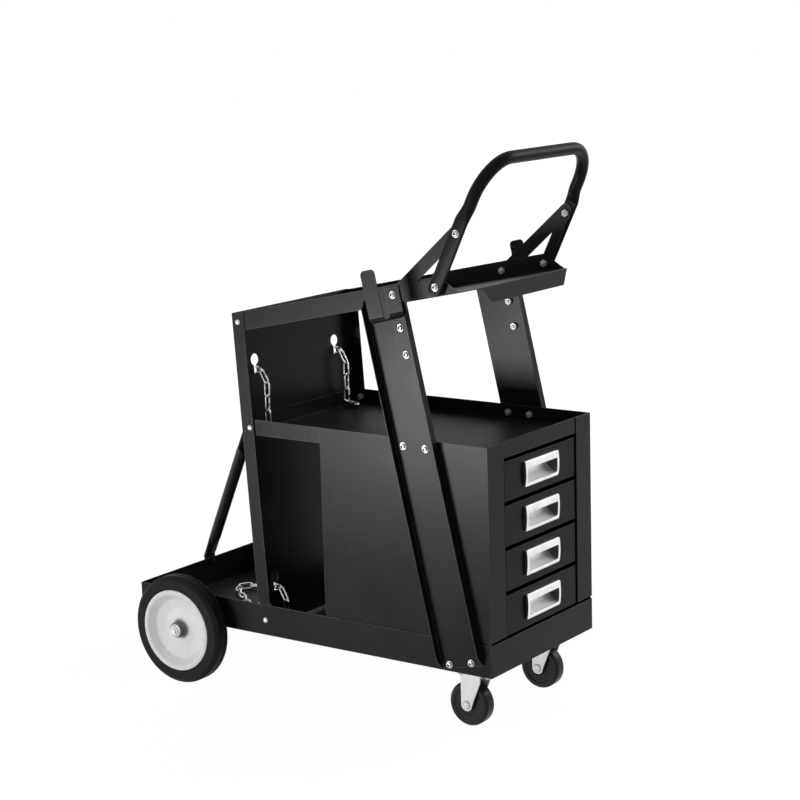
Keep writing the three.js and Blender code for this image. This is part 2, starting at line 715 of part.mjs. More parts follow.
function rearStay() {
  const offset = GAP + FLAT_THICK / 2;
  const lean = radians(REAR_PANEL_LEAN);
  const down = new THREE.Vector3(Math.sin(lean), 0, -Math.cos(lean));
  const top = new THREE.Vector3(panelRearAt(STAY_TOP_Z) - offset, STAY_TOP_Y, STAY_TOP_Z);
  const tabEnd = top.clone().addScaledVector(down, STAY_TAB);
  const footZ = BASE_TOP + FLAT_THICK - STAY_TAB;
  const foot = new THREE.Vector3(-FRONT - offset, STAY_FOOT_Y, footZ);
  const footEnd = foot.clone().add(new THREE.Vector3(0, 0, STAY_TAB));
  const run = footEnd.clone().sub(tabEnd).normalize();
  const wide = new THREE.Vector3(0, 1, 0);
  const flat = { width: FLAT_WIDTH, thick: FLAT_THICK, wide };
  const round = { width: TUBE, thick: TUBE, wide, along: run };
  const drop = new THREE.Vector3(0, 0, -1);
  const fromTop = (reach) => tabEnd.clone().addScaledVector(run, reach);
  const fromFoot = (reach) => footEnd.clone().addScaledVector(run, -reach);
  return pressedTube([
    { at: top, along: down, ...flat },
    { at: tabEnd, along: down.clone().add(run).normalize(), ...flat },
    { at: fromTop(STAY_PRESSED), along: run, ...flat },
    { at: fromTop(STAY_PRESSED + STAY_SWELL), ...round },
    { at: fromFoot(STAY_PRESSED + STAY_SWELL), ...round },
    { at: fromFoot(STAY_PRESSED), along: run, ...flat },
    { at: footEnd, along: drop.clone().add(run).normalize(), ...flat },
    { at: foot, along: drop, ...flat },
  ]);
}

add('rear_stay', rearStay(), 'coat');

// Rear wheels on a through axle, held by two brackets under the floor

const TYRE_IN = SIDE + WHEEL_SIDE_GAP;
const TYRE_OUT = TYRE_IN + TYRE_WIDTH;

// Facets are drawn round the true circle, with a flat and not a corner towards the floor.
function turned(points, steps = WHEEL_STEPS) {
  const halfStep = Math.PI / steps;
  const profile = points.map(([radius, y]) => new THREE.Vector2(radius / Math.cos(halfStep), y));
  profile.push(profile[0].clone());
  return new THREE.LatheGeometry(profile, steps, halfStep);
}

function tyre() {
  const bore = TYRE_BORE / 2 + GAP;
  const shoulder = TYRE_SHOULDER;
  return turned([
    [bore, TYRE_IN], [WHEEL_RADIUS - shoulder, TYRE_IN], [WHEEL_RADIUS, TYRE_IN + shoulder],
    [WHEEL_RADIUS, TYRE_OUT - shoulder], [WHEEL_RADIUS - shoulder, TYRE_OUT], [bore, TYRE_OUT],
  ]);
}

// A pressed disc: an outer rim, a step, a dished web and a boss that runs on the axle.
function wheelDisc() {
  const edge = TYRE_BORE / 2;
  const bore = AXLE / 2 + GAP;
  const hub = HUB / 2;
  const step = TYRE_WIDTH / 4;
  const dish = TYRE_WIDTH / 2;
  const barrel = edge - RIM_WALL;
  const skin = PLATE;
  return turned([
    [bore, SIDE + GAP], [hub, SIDE + GAP], [hub, TYRE_OUT - dish - skin],
    [barrel - skin, TYRE_OUT - step - skin], [barrel, TYRE_IN], [edge, TYRE_IN],
    [edge, TYRE_OUT], [barrel, TYRE_OUT + skin], [edge - step, TYRE_OUT],
    [edge - step - skin, TYRE_OUT - step], [hub + skin, TYRE_OUT - dish], [hub, TYRE_OUT],
    [bore, TYRE_OUT],
  ]);
}

function axleNut() {
  const face = TYRE_OUT + GAP;
  return turned([
    [AXLE / 2 + GAP, face], [NUT / 2, face], [NUT / 2, face + NUT_HEIGHT / 2],
    [NUT / 2 - PLATE, face + NUT_HEIGHT], [AXLE / 2 + GAP, face + NUT_HEIGHT],
  ], NUT_STEPS);
}

const axleGroup = new THREE.Group();
axleGroup.position.set(WHEEL_X, 0, WHEEL_RADIUS);
cart.add(axleGroup);
addPair('rear_tyre', tyre(), 'rubber', axleGroup);
addPair('rear_wheel_disc', wheelDisc(), 'disc', axleGroup);
addPair('axle_nut', axleNut(), 'zinc', axleGroup);
const AXLE_END = TYRE_OUT + NUT_HEIGHT + PLATE;
add('rear_axle', rod(AXLE / 2, -AXLE_END, AXLE_END, 0, 0), 'zinc', axleGroup);

function axleBracket() {
  const face = SIDE - AXLE_BRACKET_INSET;
  const top = BASE_Z - WHEEL_RADIUS - GAP;
  const reach = AXLE_BRACKET_LENGTH / 2;
  const clear = AXLE / 2 + PLATE;
  return cut(
    join(
      box(-reach, reach, face, face + PLATE, top - AXLE_BRACKET_DROP, top),
      box(-reach, -clear, face - AXLE_BRACKET_FOOT, face + PLATE, top - PLATE, top),
      box(clear, reach, face - AXLE_BRACKET_FOOT, face + PLATE, top - PLATE, top),
    ),
    rod(AXLE / 2 + GAP, face - PLATE, face + 2 * PLATE, 0, 0),
  );
}

addPair('axle_bracket', axleBracket(), 'coat', axleGroup);

// Casters: plate with its race, fork with crown and two legs, wheel and riveted axle

const CASTER_PLATE_TOP = BASE_Z - GAP;
const RACE_LOW = CASTER_PLATE_TOP - CASTER_PLATE_THICK - CASTER_RACE_HEIGHT;
const CROWN_TOP = RACE_LOW - GAP;
const CASTER_AXLE_Z = CASTER_WHEEL / 2;
const LEG_IN = CASTER_WIDTH / 2 + PLATE;

function casterPlate() {
  const half = CASTER_PLATE / 2;
  const raceTop = CASTER_RACE / 2;
  const race = new THREE.CylinderGeometry(raceTop, raceTop - PLATE, CASTER_RACE_HEIGHT, ROUND_STEPS);
  race.rotateX(Math.PI / 2).translate(0, 0, RACE_LOW + CASTER_RACE_HEIGHT / 2);
  return join(
    box(-half, half, -half, half, CASTER_PLATE_TOP - CASTER_PLATE_THICK, CASTER_PLATE_TOP),
    race,
  );
}

function casterFork() {
  const legTop = CROWN_TOP - CASTER_CROWN;
  const reach = CASTER_RACE / 2;
  const rear = -CASTER_TRAIL - CASTER_EYE;
  const leg = new THREE.Shape();
  leg.moveTo(CASTER_NOSE, CROWN_TOP);
  leg.lineTo(rear, CROWN_TOP);
  leg.lineTo(rear, CASTER_AXLE_Z);
  leg.absarc(-CASTER_TRAIL, CASTER_AXLE_Z, CASTER_EYE, Math.PI, 2 * Math.PI);
  leg.lineTo(CASTER_NOSE, legTop - reach / 2);
  const plate = slab(leg, 'xz', LEG_IN, LEG_IN + CASTER_LEG);
  const crown = outline([
    [rear, -LEG_IN - CASTER_LEG], [CASTER_NOSE, -LEG_IN - CASTER_LEG], [reach, 0],
    [CASTER_NOSE, LEG_IN + CASTER_LEG], [rear, LEG_IN + CASTER_LEG],
  ]);
  return cut(
    join(plate, mirrorAcross(plate), slab(crown, 'xy', legTop, CROWN_TOP)),
    rod(CASTER_AXLE / 2 + GAP, -2 * LEG_IN, 2 * LEG_IN, -CASTER_TRAIL, CASTER_AXLE_Z),
  );
}

function casterWheel() {
  const radius = CASTER_WHEEL / 2;
  const half = CASTER_WIDTH / 2;
  const bore = CASTER_AXLE / 2 + GAP;
  const tread = half - PLATE;
  const hub = CASTER_RIVET / 2 + PLATE;
  const boss = LEG_IN - GAP;
  return turned([
    [bore, -boss], [hub, -boss], [hub, -tread], [CASTER_WEB, -tread], [CASTER_TREAD_INNER, -half],
    [radius - PLATE, -half], [radius, -tread], [radius, tread], [radius - PLATE, half],
    [CASTER_TREAD_INNER, half], [CASTER_WEB, tread], [hub, tread], [hub, boss], [bore, boss],
  ], ROUND_STEPS);
}

function casterAxle() {
  const shaft = CASTER_AXLE / 2;
  const head = CASTER_RIVET / 2;
  const crown = head - CASTER_RIVET_BEVEL;
  const face = LEG_IN + CASTER_LEG + GAP;
  const end = face + CASTER_RIVET_HEAD;
  return turned([
    [0, -end], [crown, -end], [head, -face], [shaft, -face], [shaft, face], [head, face],
    [crown, end], [0, end],
  ], ROUND_STEPS);
}

for (const [side, y] of [['left', CASTER_SPACING / 2], ['right', -CASTER_SPACING / 2]]) {
  const caster = new THREE.Group();
  caster.position.set(CASTER_X, y, 0);
  const hub = new THREE.Group();
  hub.position.set(-CASTER_TRAIL, 0, CASTER_AXLE_Z);
  caster.add(hub);
  cart.add(caster);
  add(`caster_plate_${side}`, casterPlate(), 'zinc', caster);
  add(`caster_fork_${side}`, casterFork(), 'zinc', caster);
  add(`caster_wheel_${side}`, casterWheel(), 'rubber', hub);
  add(`caster_axle_${side}`, casterAxle(), 'zinc', hub);
}

// Safety chains: oval wire links, each turned a quarter from the last and joined where they bear.

function link(from, to, roll) {
  const along = to.clone().sub(from);
  const half = along.length() / 2;
  along.normalize();
  const turn = new THREE.Quaternion().setFromUnitVectors(new THREE.Vector3(1, 0, 0), along);
  turn.multiply(new THREE.Quaternion().setFromAxisAngle(new THREE.Vector3(1, 0, 0), roll));
  const bend = (LINK_WIDTH - WIRE) / 2;
  const straight = half + WIRE / 2 - LINK_BITE / 2 - bend;
  const stations = [];
  for (const end of [1, -1]) {
    for (let i = 0; i <= LINK_STEPS; i += 1) {
      const angle = (i / LINK_STEPS - 0.5) * Math.PI + (end < 0 ? Math.PI : 0);
      stations.push([angle, end * straight]);
    }
  }
  const rings = stations.map(([angle, shift]) => (
    Array.from({ length: WIRE_SIDES }, (_, k) => {
      const around = (k / WIRE_SIDES) * 2 * Math.PI;
      const reach = bend + Math.cos(around) * WIRE / 2;
      return new THREE.Vector3(
        shift + reach * Math.cos(angle), reach * Math.sin(angle), Math.sin(around) * WIRE / 2,
      );
    })
  ));
  const geometry = closedLoop(rings);
  geometry.applyQuaternion(turn);
  const middle = from.clone().add(to).multiplyScalar(0.5);
  return geometry.translate(middle.x, middle.y, middle.z);
}

function closedLoop(rings) {
  const count = rings[0].length;
  const total = rings.length * count;
  const faces = [];
  rings.forEach((_, r) => {
    for (let i = 0; i < count; i += 1) {
      const a = r * count + i;
      const b = r * count + (i + 1) % count;
      const c = (b + count) % total;
      const d = (a + count) % total;
      faces.push(a, c, b, a, d, c);
    }
  });
  const geometry = new THREE.BufferGeometry();
  const positions = rings.flat().flatMap((point) => point.toArray());
  geometry.setAttribute('position', new THREE.Float32BufferAttribute(positions, 3));
  geometry.setIndex(faces);
  return geometry;
}

// The slot link stands edgewise in a keyhole's neck: its two joints, inside and behind the panel.
function slotJoints(side, keyholeZ) {
  const neckEnd = upThePanel(keyholeZ) - KEYHOLE_DROP - KEYHOLE_NECK / 2;
  const lift = neckEnd + GAP + LINK_WIDTH / 2;
  return [1, -1].map((end) => (
    new THREE.Vector3((end * LINK_PITCH + SHEET) / 2, side * KEYHOLE_SPACING / 2, lift)
      .applyEuler(rearPanelTurn.rotation)
      .add(rearPanelTurn.position)
  ));
}

// The height of a joint whose links lie on a floor, whichever way they are turned.
const restingZ = (floorZ) => floorZ + GAP + LINK_WIDTH / 2;

// The loose end in front of the panel: a lead link, a hanging run, and a last link on the floor.
function tailJoints(start, floorZ) {
  const rest = start.z - restingZ(floorZ);
  const lead = radians(LEAD_ANGLE);
  const hanging = Math.floor((rest - LINK_PITCH * Math.sin(lead)) / LINK_PITCH);
  const left = rest - LINK_PITCH * (Math.sin(lead) + hanging);
  const angles = [lead, ...Array(hanging).fill(Math.PI / 2), Math.asin(left / LINK_PITCH)];
  const joints = [];
  angles.reduce((from, angle) => {
    const step = new THREE.Vector3(LINK_PITCH * Math.cos(angle), 0, -LINK_PITCH * Math.sin(angle));
    joints.push(from.clone().add(step));
    return joints.at(-1);
  }, start);
  return joints;
}

function chain(keyholeZ, tailFloorZ, behind) {
  const [rightIn, rightOut] = slotJoints(-1, keyholeZ);
  const [leftIn, leftOut] = slotJoints(1, keyholeZ);
  const route = new THREE.CatmullRomCurve3([rightOut, ...behind(rightOut.z), leftOut]);
  const count = 2 * Math.round((route.getLength() / LINK_PITCH - 1) / 2) + 1;
  const behindJoints = route.getSpacedPoints(count);
  behindJoints.forEach((joint) => joint.setZ(Math.max(joint.z, restingZ(FLOOR_TOP))));
  const joints = [
    ...tailJoints(rightIn, tailFloorZ).reverse(), rightIn,
    ...behindJoints, leftIn, ...tailJoints(leftIn, tailFloorZ),
  ];
  const slot = joints.indexOf(rightIn);
  const links = joints.slice(1).map((to, i) => (
    link(joints[i], to, (i - slot) % 2 === 0 ? Math.PI / 2 : 0)
  ));
  return join(...links);
}

const swag = (z) => [-2, -1, 0, 1, 2].map((i) => new THREE.Vector3(
  panelRearAt(z) - CHAIN_STANDOFF, i * KEYHOLE_SPACING / 6, z - UPPER_SAG * (1 - (i / 3) ** 2),
));

const loop = () => [-2, -1, 0, 1, 2].map((i) => {
  const part = Math.abs(i) / 3;
  const spread = Math.sign(i) * KEYHOLE_SPACING / 2 * part ** LOOP_ROUNDING;
  return new THREE.Vector3(
    THREE.MathUtils.lerp(LOOP_APEX_X, REAR_PANEL_X - CHAIN_STANDOFF, part),
    LOOP_APEX_Y * (1 - part) + spread, restingZ(FLOOR_TOP),
  );
});

add('upper_chain', chain(KEYHOLE_UPPER_Z, SHELF_Z + SHEET, swag), 'bright');
add('lower_chain', chain(KEYHOLE_LOWER_Z, FLOOR_TOP, loop), 'bright');

// The origin is on the floor, under the middle of the cart's length and width.
const extent = new THREE.Box3().setFromObject(cart);
const centre = extent.getCenter(new THREE.Vector3());
cart.position.set(-centre.x, -centre.y, -extent.min.z);

export default cart;
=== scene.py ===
"""Looks of the welding cart: folded sheet metal, wheels, casters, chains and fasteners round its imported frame."""

import json
import math

import bmesh
import bpy
from mathutils import Matrix, Vector

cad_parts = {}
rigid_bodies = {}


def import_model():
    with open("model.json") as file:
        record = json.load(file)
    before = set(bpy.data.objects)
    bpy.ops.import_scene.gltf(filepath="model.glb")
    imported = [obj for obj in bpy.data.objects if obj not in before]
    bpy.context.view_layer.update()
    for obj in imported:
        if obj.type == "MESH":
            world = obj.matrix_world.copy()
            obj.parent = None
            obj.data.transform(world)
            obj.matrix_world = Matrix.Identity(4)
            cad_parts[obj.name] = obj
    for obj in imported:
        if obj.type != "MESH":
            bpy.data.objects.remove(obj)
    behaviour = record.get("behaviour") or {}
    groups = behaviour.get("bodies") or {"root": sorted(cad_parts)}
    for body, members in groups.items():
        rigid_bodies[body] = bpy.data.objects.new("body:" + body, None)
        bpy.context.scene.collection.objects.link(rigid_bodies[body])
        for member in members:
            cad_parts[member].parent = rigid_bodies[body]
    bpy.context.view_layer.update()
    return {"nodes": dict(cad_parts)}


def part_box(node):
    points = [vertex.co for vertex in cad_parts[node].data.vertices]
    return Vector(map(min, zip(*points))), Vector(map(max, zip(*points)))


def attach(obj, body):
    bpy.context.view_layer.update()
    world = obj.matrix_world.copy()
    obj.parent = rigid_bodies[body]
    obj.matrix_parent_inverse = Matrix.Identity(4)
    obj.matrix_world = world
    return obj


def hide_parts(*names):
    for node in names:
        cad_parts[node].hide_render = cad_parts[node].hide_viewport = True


for leftover in list(bpy.data.objects):
    bpy.data.objects.remove(leftover)
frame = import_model()

bl_info = {
    "name": "Welding cart",
    "version": (1, 0, 0),
    "blender": (4, 5, 0),
    "location": "View3D > Sidebar > Cart",
    "description": "Builds the visible pieces and finishes of a welding cart round its frame",
    "category": "Add Mesh",
}

MM = 0.001
SIDES = (("left", 1), ("right", -1))

# Sizes that the frame's pieces were drawn to, in millimetres, measured from the middle of the base pan
BASE_HALF = 347.0
BASE_Z = 95.0
BASE_RIM = 50.0
SHEET = 1.2
PLATE = 2.0
GAP = 0.3
FLOOR_TOP = BASE_Z + SHEET
SHELF_Z = 420.0
PANEL_X = -94.0
PANEL_LEAN = math.radians(3.7)
PANEL_FOOT_Z = BASE_Z + BASE_RIM
TRAY_TILT = math.radians(11.5)
TRAY_MID_Z = 606.5
TRAY_RIM = 29.0
UPRIGHT_LEAN = math.radians(12.9)
BRACKET_REAR_X = 190.0
HANDLE_LOW_X = 268.0
HANDLE_LEAN = math.radians(25.7)
HANDLE_BOLT_PITCH = 88.0
HANDLE_REACH = 204.0
HANDLE_BEND = 62.0
HANDLE_TAIL = 13.0
STRUT_RISE = 5.0
FLAT_WIDTH = 26.0
HANDLE_FLAT = 22.5
FLAT_THICK = 5.0
TUBE = 19.0
STAY_TOP = (-128.0, 445.0)
STAY_FOOT_Y = 31.0
STAY_TAB = 20.0
STAY_PRESSED = 46.0
STAY_SWELL = 16.0
KEYHOLE_SPACING = 208.0
KEYHOLE_NECK_FOOT = 23.2
LINK_PITCH = 22.0
LINK_WIDTH = 12.4
RETURN_TUCK = 4.0
FRONT_PLAY = 2.5

# Row x is measured from the middle of the whole cart, and base x from the middle of the base pan
BASE_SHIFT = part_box("base_tray")[0].x / MM + BASE_HALF

# Distances of the outer faces from the cart's middle plane
UPRIGHT_FACE = 148.5
BRACKET_FACE = 150.8
HOOK_FACE = 153.1
HANDLE_FACE = 156.1
BASE_RIM_FACE = 147.0
TRAY_RIM_BACK = 145.8
SHELF_RIM_BACK = 144.3
UPRIGHT_BACK = 147.3
BRACKET_BACK = 148.8


def row(x, y, z):
    """A point given in millimetres in the base pan's frame, in metres in the row frame."""
    return Vector((x + BASE_SHIFT, y, z)) * MM


def tray_floor(x):
    return TRAY_MID_Z + x * math.tan(TRAY_TILT)


def panel_rear(z):
    return PANEL_X - (z - PANEL_FOOT_Z) * math.tan(PANEL_LEAN)


# Settings


class CartShape(bpy.types.PropertyGroup):
    """Roundings and small sizes of the cart's pieces."""

    fold_radius: bpy.props.FloatProperty(
        name="Fold radius", description="Outer radius of the folds in the sheet metal",
        default=0.5 * MM, min=0.2 * MM, max=0.55 * MM, unit="LENGTH")
    cut_edge: bpy.props.FloatProperty(
        name="Cut edge", description="Rounding that the coat gives to cut sheet edges",
        default=0.12 * MM, min=0.05 * MM, max=0.13 * MM, unit="LENGTH")
    bolt_head: bpy.props.FloatProperty(
        name="Bolt head", description="Diameter of the button heads",
        default=9.2 * MM, min=6 * MM, max=16 * MM, unit="LENGTH")
    nut_width: bpy.props.FloatProperty(
        name="Nut width", description="Width across the flats of the nuts",
        default=10 * MM, min=6 * MM, max=16 * MM, unit="LENGTH")
    wire: bpy.props.FloatProperty(
        name="Chain wire", description="Diameter of the wire of the chain links",
        default=3.2 * MM, min=2 * MM, max=5 * MM, unit="LENGTH")
    wheel_steps: bpy.props.IntProperty(
        name="Wheel steps", description="Faces round a wheel", default=96, min=24, max=256)


class CartColour(bpy.types.PropertyGroup):
    """Colours of the cart's finishes."""

    coat: bpy.props.FloatVectorProperty(
        name="Powder coat", description="Colour of the black powder coat",
        default=(0.0095, 0.0095, 0.01), size=3, min=0, max=1, subtype="COLOR")
    # Edge colour: partly rubbed coat, partly a painted highlight standing in for the sheen on rounded folds.
    worn_sheen: bpy.props.FloatVectorProperty(
        name="Worn edge", description="Colour of the coat where edges are rubbed",
        default=(0.13, 0.13, 0.135), size=3, min=0, max=1, subtype="COLOR")
    zinc: bpy.props.FloatVectorProperty(
        name="Zinc", description="Colour of the zinc plate",
        default=(0.60, 0.605, 0.61), size=3, min=0, max=1, subtype="COLOR")
    bright: bpy.props.FloatVectorProperty(
        name="Bright plate", description="Colour of the drawer pulls and the chains",
        default=(0.85, 0.86, 0.87), size=3, min=0, max=1, subtype="COLOR")
    disc: bpy.props.FloatVectorProperty(
        name="Wheel disc", description="Colour of the silver paint on the wheel discs",
        default=(0.55, 0.555, 0.56), size=3, min=0, max=1, subtype="COLOR")
    rubber: bpy.props.FloatVectorProperty(
        name="Rubber", description="Colour of the tyres and caster wheels",
        default=(0.010, 0.010, 0.0105), size=3, min=0, max=1, subtype="COLOR")
    dust: bpy.props.FloatVectorProperty(
        name="Dust", description="Colour of the dust that settles on level faces",
        default=(0.05, 0.048, 0.046), size=3, min=0, max=1, subtype="COLOR")


class CartStage(bpy.types.PropertyGroup):
    """Light and camera."""

    key_power: bpy.props.FloatProperty(
        name="Key light", description="Power of the low light on the right side of the cart",
        default=25.0, min=0, max=1000, subtype="POWER", unit="POWER")
    fill_power: bpy.props.FloatProperty(
        name="Fill light", description="Power of the weak light off the drawers' left corner",
        default=20.0, min=0, max=1000, subtype="POWER", unit="POWER")
    room_light: bpy.props.FloatProperty(
        name="Room light", description="Strength of the even light from all round",
        default=0.25, min=0, max=2)
    lens: bpy.props.FloatProperty(
        name="Lens", description="Focal length on a 36 mm frame",
        default=92.76, min=10, max=300, subtype="DISTANCE_CAMERA")
    azimuth: bpy.props.FloatProperty(
        name="Azimuth", description="How far the camera stands round from the right side",
        default=math.radians(35.72), subtype="ANGLE", unit="ROTATION")
    elevation: bpy.props.FloatProperty(
        name="Elevation", description="How far the camera looks down",
        default=math.radians(10.95), subtype="ANGLE", unit="ROTATION")
    roll: bpy.props.FloatProperty(
        name="Roll", description="Turn of the camera about its line of sight",
        default=math.radians(-1.6), subtype="ANGLE", unit="ROTATION")
    eye: bpy.props.FloatVectorProperty(
        name="Eye", description="Place of the camera",
        default=(1.93897, -2.583, 1.0826), size=3, subtype="TRANSLATION", unit="LENGTH")


# Shader helpers


def add_node(tree, kind, inputs=None, **settings):
    made = tree.nodes.new(kind)
    for key, value in settings.items():
        setattr(made, key, value)
    for key, value in (inputs or {}).items():
        if isinstance(value, bpy.types.NodeSocket):
            tree.links.new(value, made.inputs[key])
        else:
            made.inputs[key].default_value = value
    return made


def new_group(name, inputs, outputs):
    """An empty node group with float inputs, given with their defaults, and float outputs."""
    tree = bpy.data.node_groups.new(name, "ShaderNodeTree")
    for label, value in inputs.items():
        socket = tree.interface.new_socket(label, in_out="INPUT", socket_type="NodeSocketFloat")
        socket.default_value = value
    for label in outputs:
        tree.interface.new_socket(label, in_out="OUTPUT", socket_type="NodeSocketFloat")
    source = tree.nodes.new("NodeGroupInput")
    sink = tree.nodes.new("NodeGroupOutput")
    return tree, source.outputs, sink


def noise(tree, scale, detail, place=None, roughness=0.55):
    if place is None:
        place = add_node(tree, "ShaderNodeTexCoord").outputs["Object"]
    made = add_node(tree, "ShaderNodeTexNoise",
                    {"Vector": place, "Scale": scale, "Detail": detail, "Roughness": roughness})
    return made.outputs["Fac"]


def remap(tree, value, low, high, to_low=0.0, to_high=1.0):
    made = add_node(tree, "ShaderNodeMapRange", {
        "Value": value, "From Min": low, "From Max": high, "To Min": to_low, "To Max": to_high})
    return made.outputs["Result"]


def maths(tree, operation, first, second):
    made = add_node(tree, "ShaderNodeMath", {0: first, 1: second}, operation=operation)
    return made.outputs[0]


def mix_colour(tree, factor, first, second):
    made = add_node(tree, "ShaderNodeMix", {0: factor, 6: first, 7: second}, data_type="RGBA")
    return made.outputs[2]


def grain_group():
    """Fine texture of a coat or a moulding: a height, and a slow change of tone."""
    tree, given, sink = new_group("surface_grain", {"Scale": 900.0, "Patch": 9.0}, ("Height", "Tone"))
    tree.links.new(noise(tree, given["Scale"], 3.0), sink.inputs["Height"])
    tree.links.new(remap(tree, noise(tree, given["Patch"], 4.0), 0.3, 0.7), sink.inputs["Tone"])
    return tree


def edge_wear_and_sheen_group():
    """Mask of edges, broken up so that only parts of an edge show it; the coats use it both for rubbed edges and for
    a painted highlight along rounded folds.
    """
    tree, given, sink = new_group("edge_wear_and_sheen", {"Radius": 0.0008, "Amount": 0.6}, ("Mask",))
    soft = add_node(tree, "ShaderNodeBevel", {"Radius": given["Radius"]}, samples=4)
    flat = add_node(tree, "ShaderNodeNewGeometry")
    agree = add_node(tree, "ShaderNodeVectorMath",
                     {0: soft.outputs["Normal"], 1: flat.outputs["Normal"]}, operation="DOT_PRODUCT")
    edge = remap(tree, agree.outputs["Value"], 0.998, 0.92)
    patches = remap(tree, noise(tree, 24.0, 5.0), 0.28, 0.55)
    mask = maths(tree, "MULTIPLY", edge, patches)
    tree.links.new(maths(tree, "MULTIPLY", mask, given["Amount"]), sink.inputs["Mask"])
    return tree


def dust_group():
    """Mask of dust on faces that look up, and of those faces."""
    tree, given, sink = new_group("settled_dust", {"Scale": 14.0, "Amount": 0.5}, ("Mask", "Level"))
    geometry = add_node(tree, "ShaderNodeNewGeometry")
    split = add_node(tree, "ShaderNodeSeparateXYZ", {0: geometry.outputs["Normal"]})
    up = remap(tree, split.outputs["Z"], 0.55, 0.98)
    tree.links.new(up, sink.inputs["Level"])
    film = remap(tree, noise(tree, given["Scale"], 6.0), 0.32, 0.72)
    mask = maths(tree, "MULTIPLY", up, film)
    tree.links.new(maths(tree, "MULTIPLY", mask, given["Amount"]), sink.inputs["Mask"])
    return tree


GROUPS = {}


def use_group(tree, name, **values):
    makers = {"surface_grain": grain_group, "edge_wear_and_sheen": edge_wear_and_sheen_group, "settled_dust": dust_group}
    if name not in GROUPS:
        GROUPS[name] = makers[name]()
    placed = tree.nodes.new("ShaderNodeGroup")
    placed.node_tree = GROUPS[name]
    for label, value in values.items():
        placed.inputs[label].default_value = value
    return placed.outputs


def new_material(name):
    material = bpy.data.materials.new(name)
    material.use_nodes = True
    tree = material.node_tree
    shader = tree.nodes["Principled BSDF"]
    return material, tree, shader


def bump(tree, shader, height, depth, strength=1.0):
    made = add_node(tree, "ShaderNodeBump", {"Height": height, "Distance": depth, "Strength": strength})
    tree.links.new(made.outputs["Normal"], shader.inputs["Normal"])


def rgba(colour, gain=1.0):
    return (colour[0] * gain, colour[1] * gain, colour[2] * gain, 1.0)


def coat_material(name, colour, worn_sheen, dust, gloss=0.28, scale=900.0, depth=0.00012, wear_and_sheen=0.7, dusty=0.06,
                  specular=0.1):
    """Black powder coat: fine grain, slow changes of gloss, lighter edges that are partly rubbed coat and partly a
    painted highlight of rounded folds, and a little dust.
    """
    material, tree, shader = new_material(name)
    grain = use_group(tree, "surface_grain", Scale=scale, Patch=7.0)
    rubbed = use_group(tree, "edge_wear_and_sheen", Radius=0.002, Amount=wear_and_sheen)
    film = use_group(tree, "settled_dust", Scale=16.0, Amount=dusty)
    plain = mix_colour(tree, grain["Tone"], rgba(colour, 0.82), rgba(colour, 1.2))
    dusted = mix_colour(tree, film["Mask"], plain, rgba(dust))
    # The lighter edge colour is partly rubbed coat and partly a painted highlight standing in for the sheen on
    # rounded folds.
    tree.links.new(mix_colour(tree, rubbed["Mask"], dusted, rgba(worn_sheen)), shader.inputs["Base Color"])
    sheen = remap(tree, grain["Tone"], 0.0, 1.0, gloss - 0.03, gloss + 0.04)
    rough = maths(tree, "ADD", sheen, maths(tree, "MULTIPLY", film["Level"], 0.2))
    tree.links.new(rough, shader.inputs["Roughness"])
    shader.inputs["Specular IOR Level"].default_value = specular
    bump(tree, shader, grain["Height"], depth, 0.8)
    return material


def plate_material(name, colour, gloss=0.28, scale=260.0, depth=0.00003, metal=1.0, shaded_ends=False):
    """Plated steel: a faint mottle in tone and gloss, and, where asked, painted shade and more roughness on the end
    walls that face across the cart.
    """
    material, tree, shader = new_material(name)
    grain = use_group(tree, "surface_grain", Scale=scale, Patch=60.0)
    tone = mix_colour(tree, grain["Tone"], rgba(colour, 0.86), rgba(colour, 1.04))
    rough = remap(tree, grain["Tone"], 0.0, 1.0, gloss + 0.08, gloss - 0.05)
    # Painted shade: end walls facing across the cart are darkened almost to black, standing in for the shade inside
    # the cup.
    if shaded_ends:
        facing = add_node(tree, "ShaderNodeTexCoord").outputs["Normal"]
        across = add_node(tree, "ShaderNodeSeparateXYZ", {0: facing}).outputs["Y"]
        ends = remap(tree, maths(tree, "ABSOLUTE", across, 0.0), 0.75, 0.95)
        tone = mix_colour(tree, ends, tone, rgba(colour, 0.07))
        rough = maths(tree, "ADD", rough, maths(tree, "MULTIPLY", ends, 0.15))
    tree.links.new(tone, shader.inputs["Base Color"])
    tree.links.new(rough, shader.inputs["Roughness"])
    shader.inputs["Metallic"].default_value = metal
    shader.inputs["Specular IOR Level"].default_value = 0.2
    bump(tree, shader, grain["Height"], depth, 0.5)
    return material


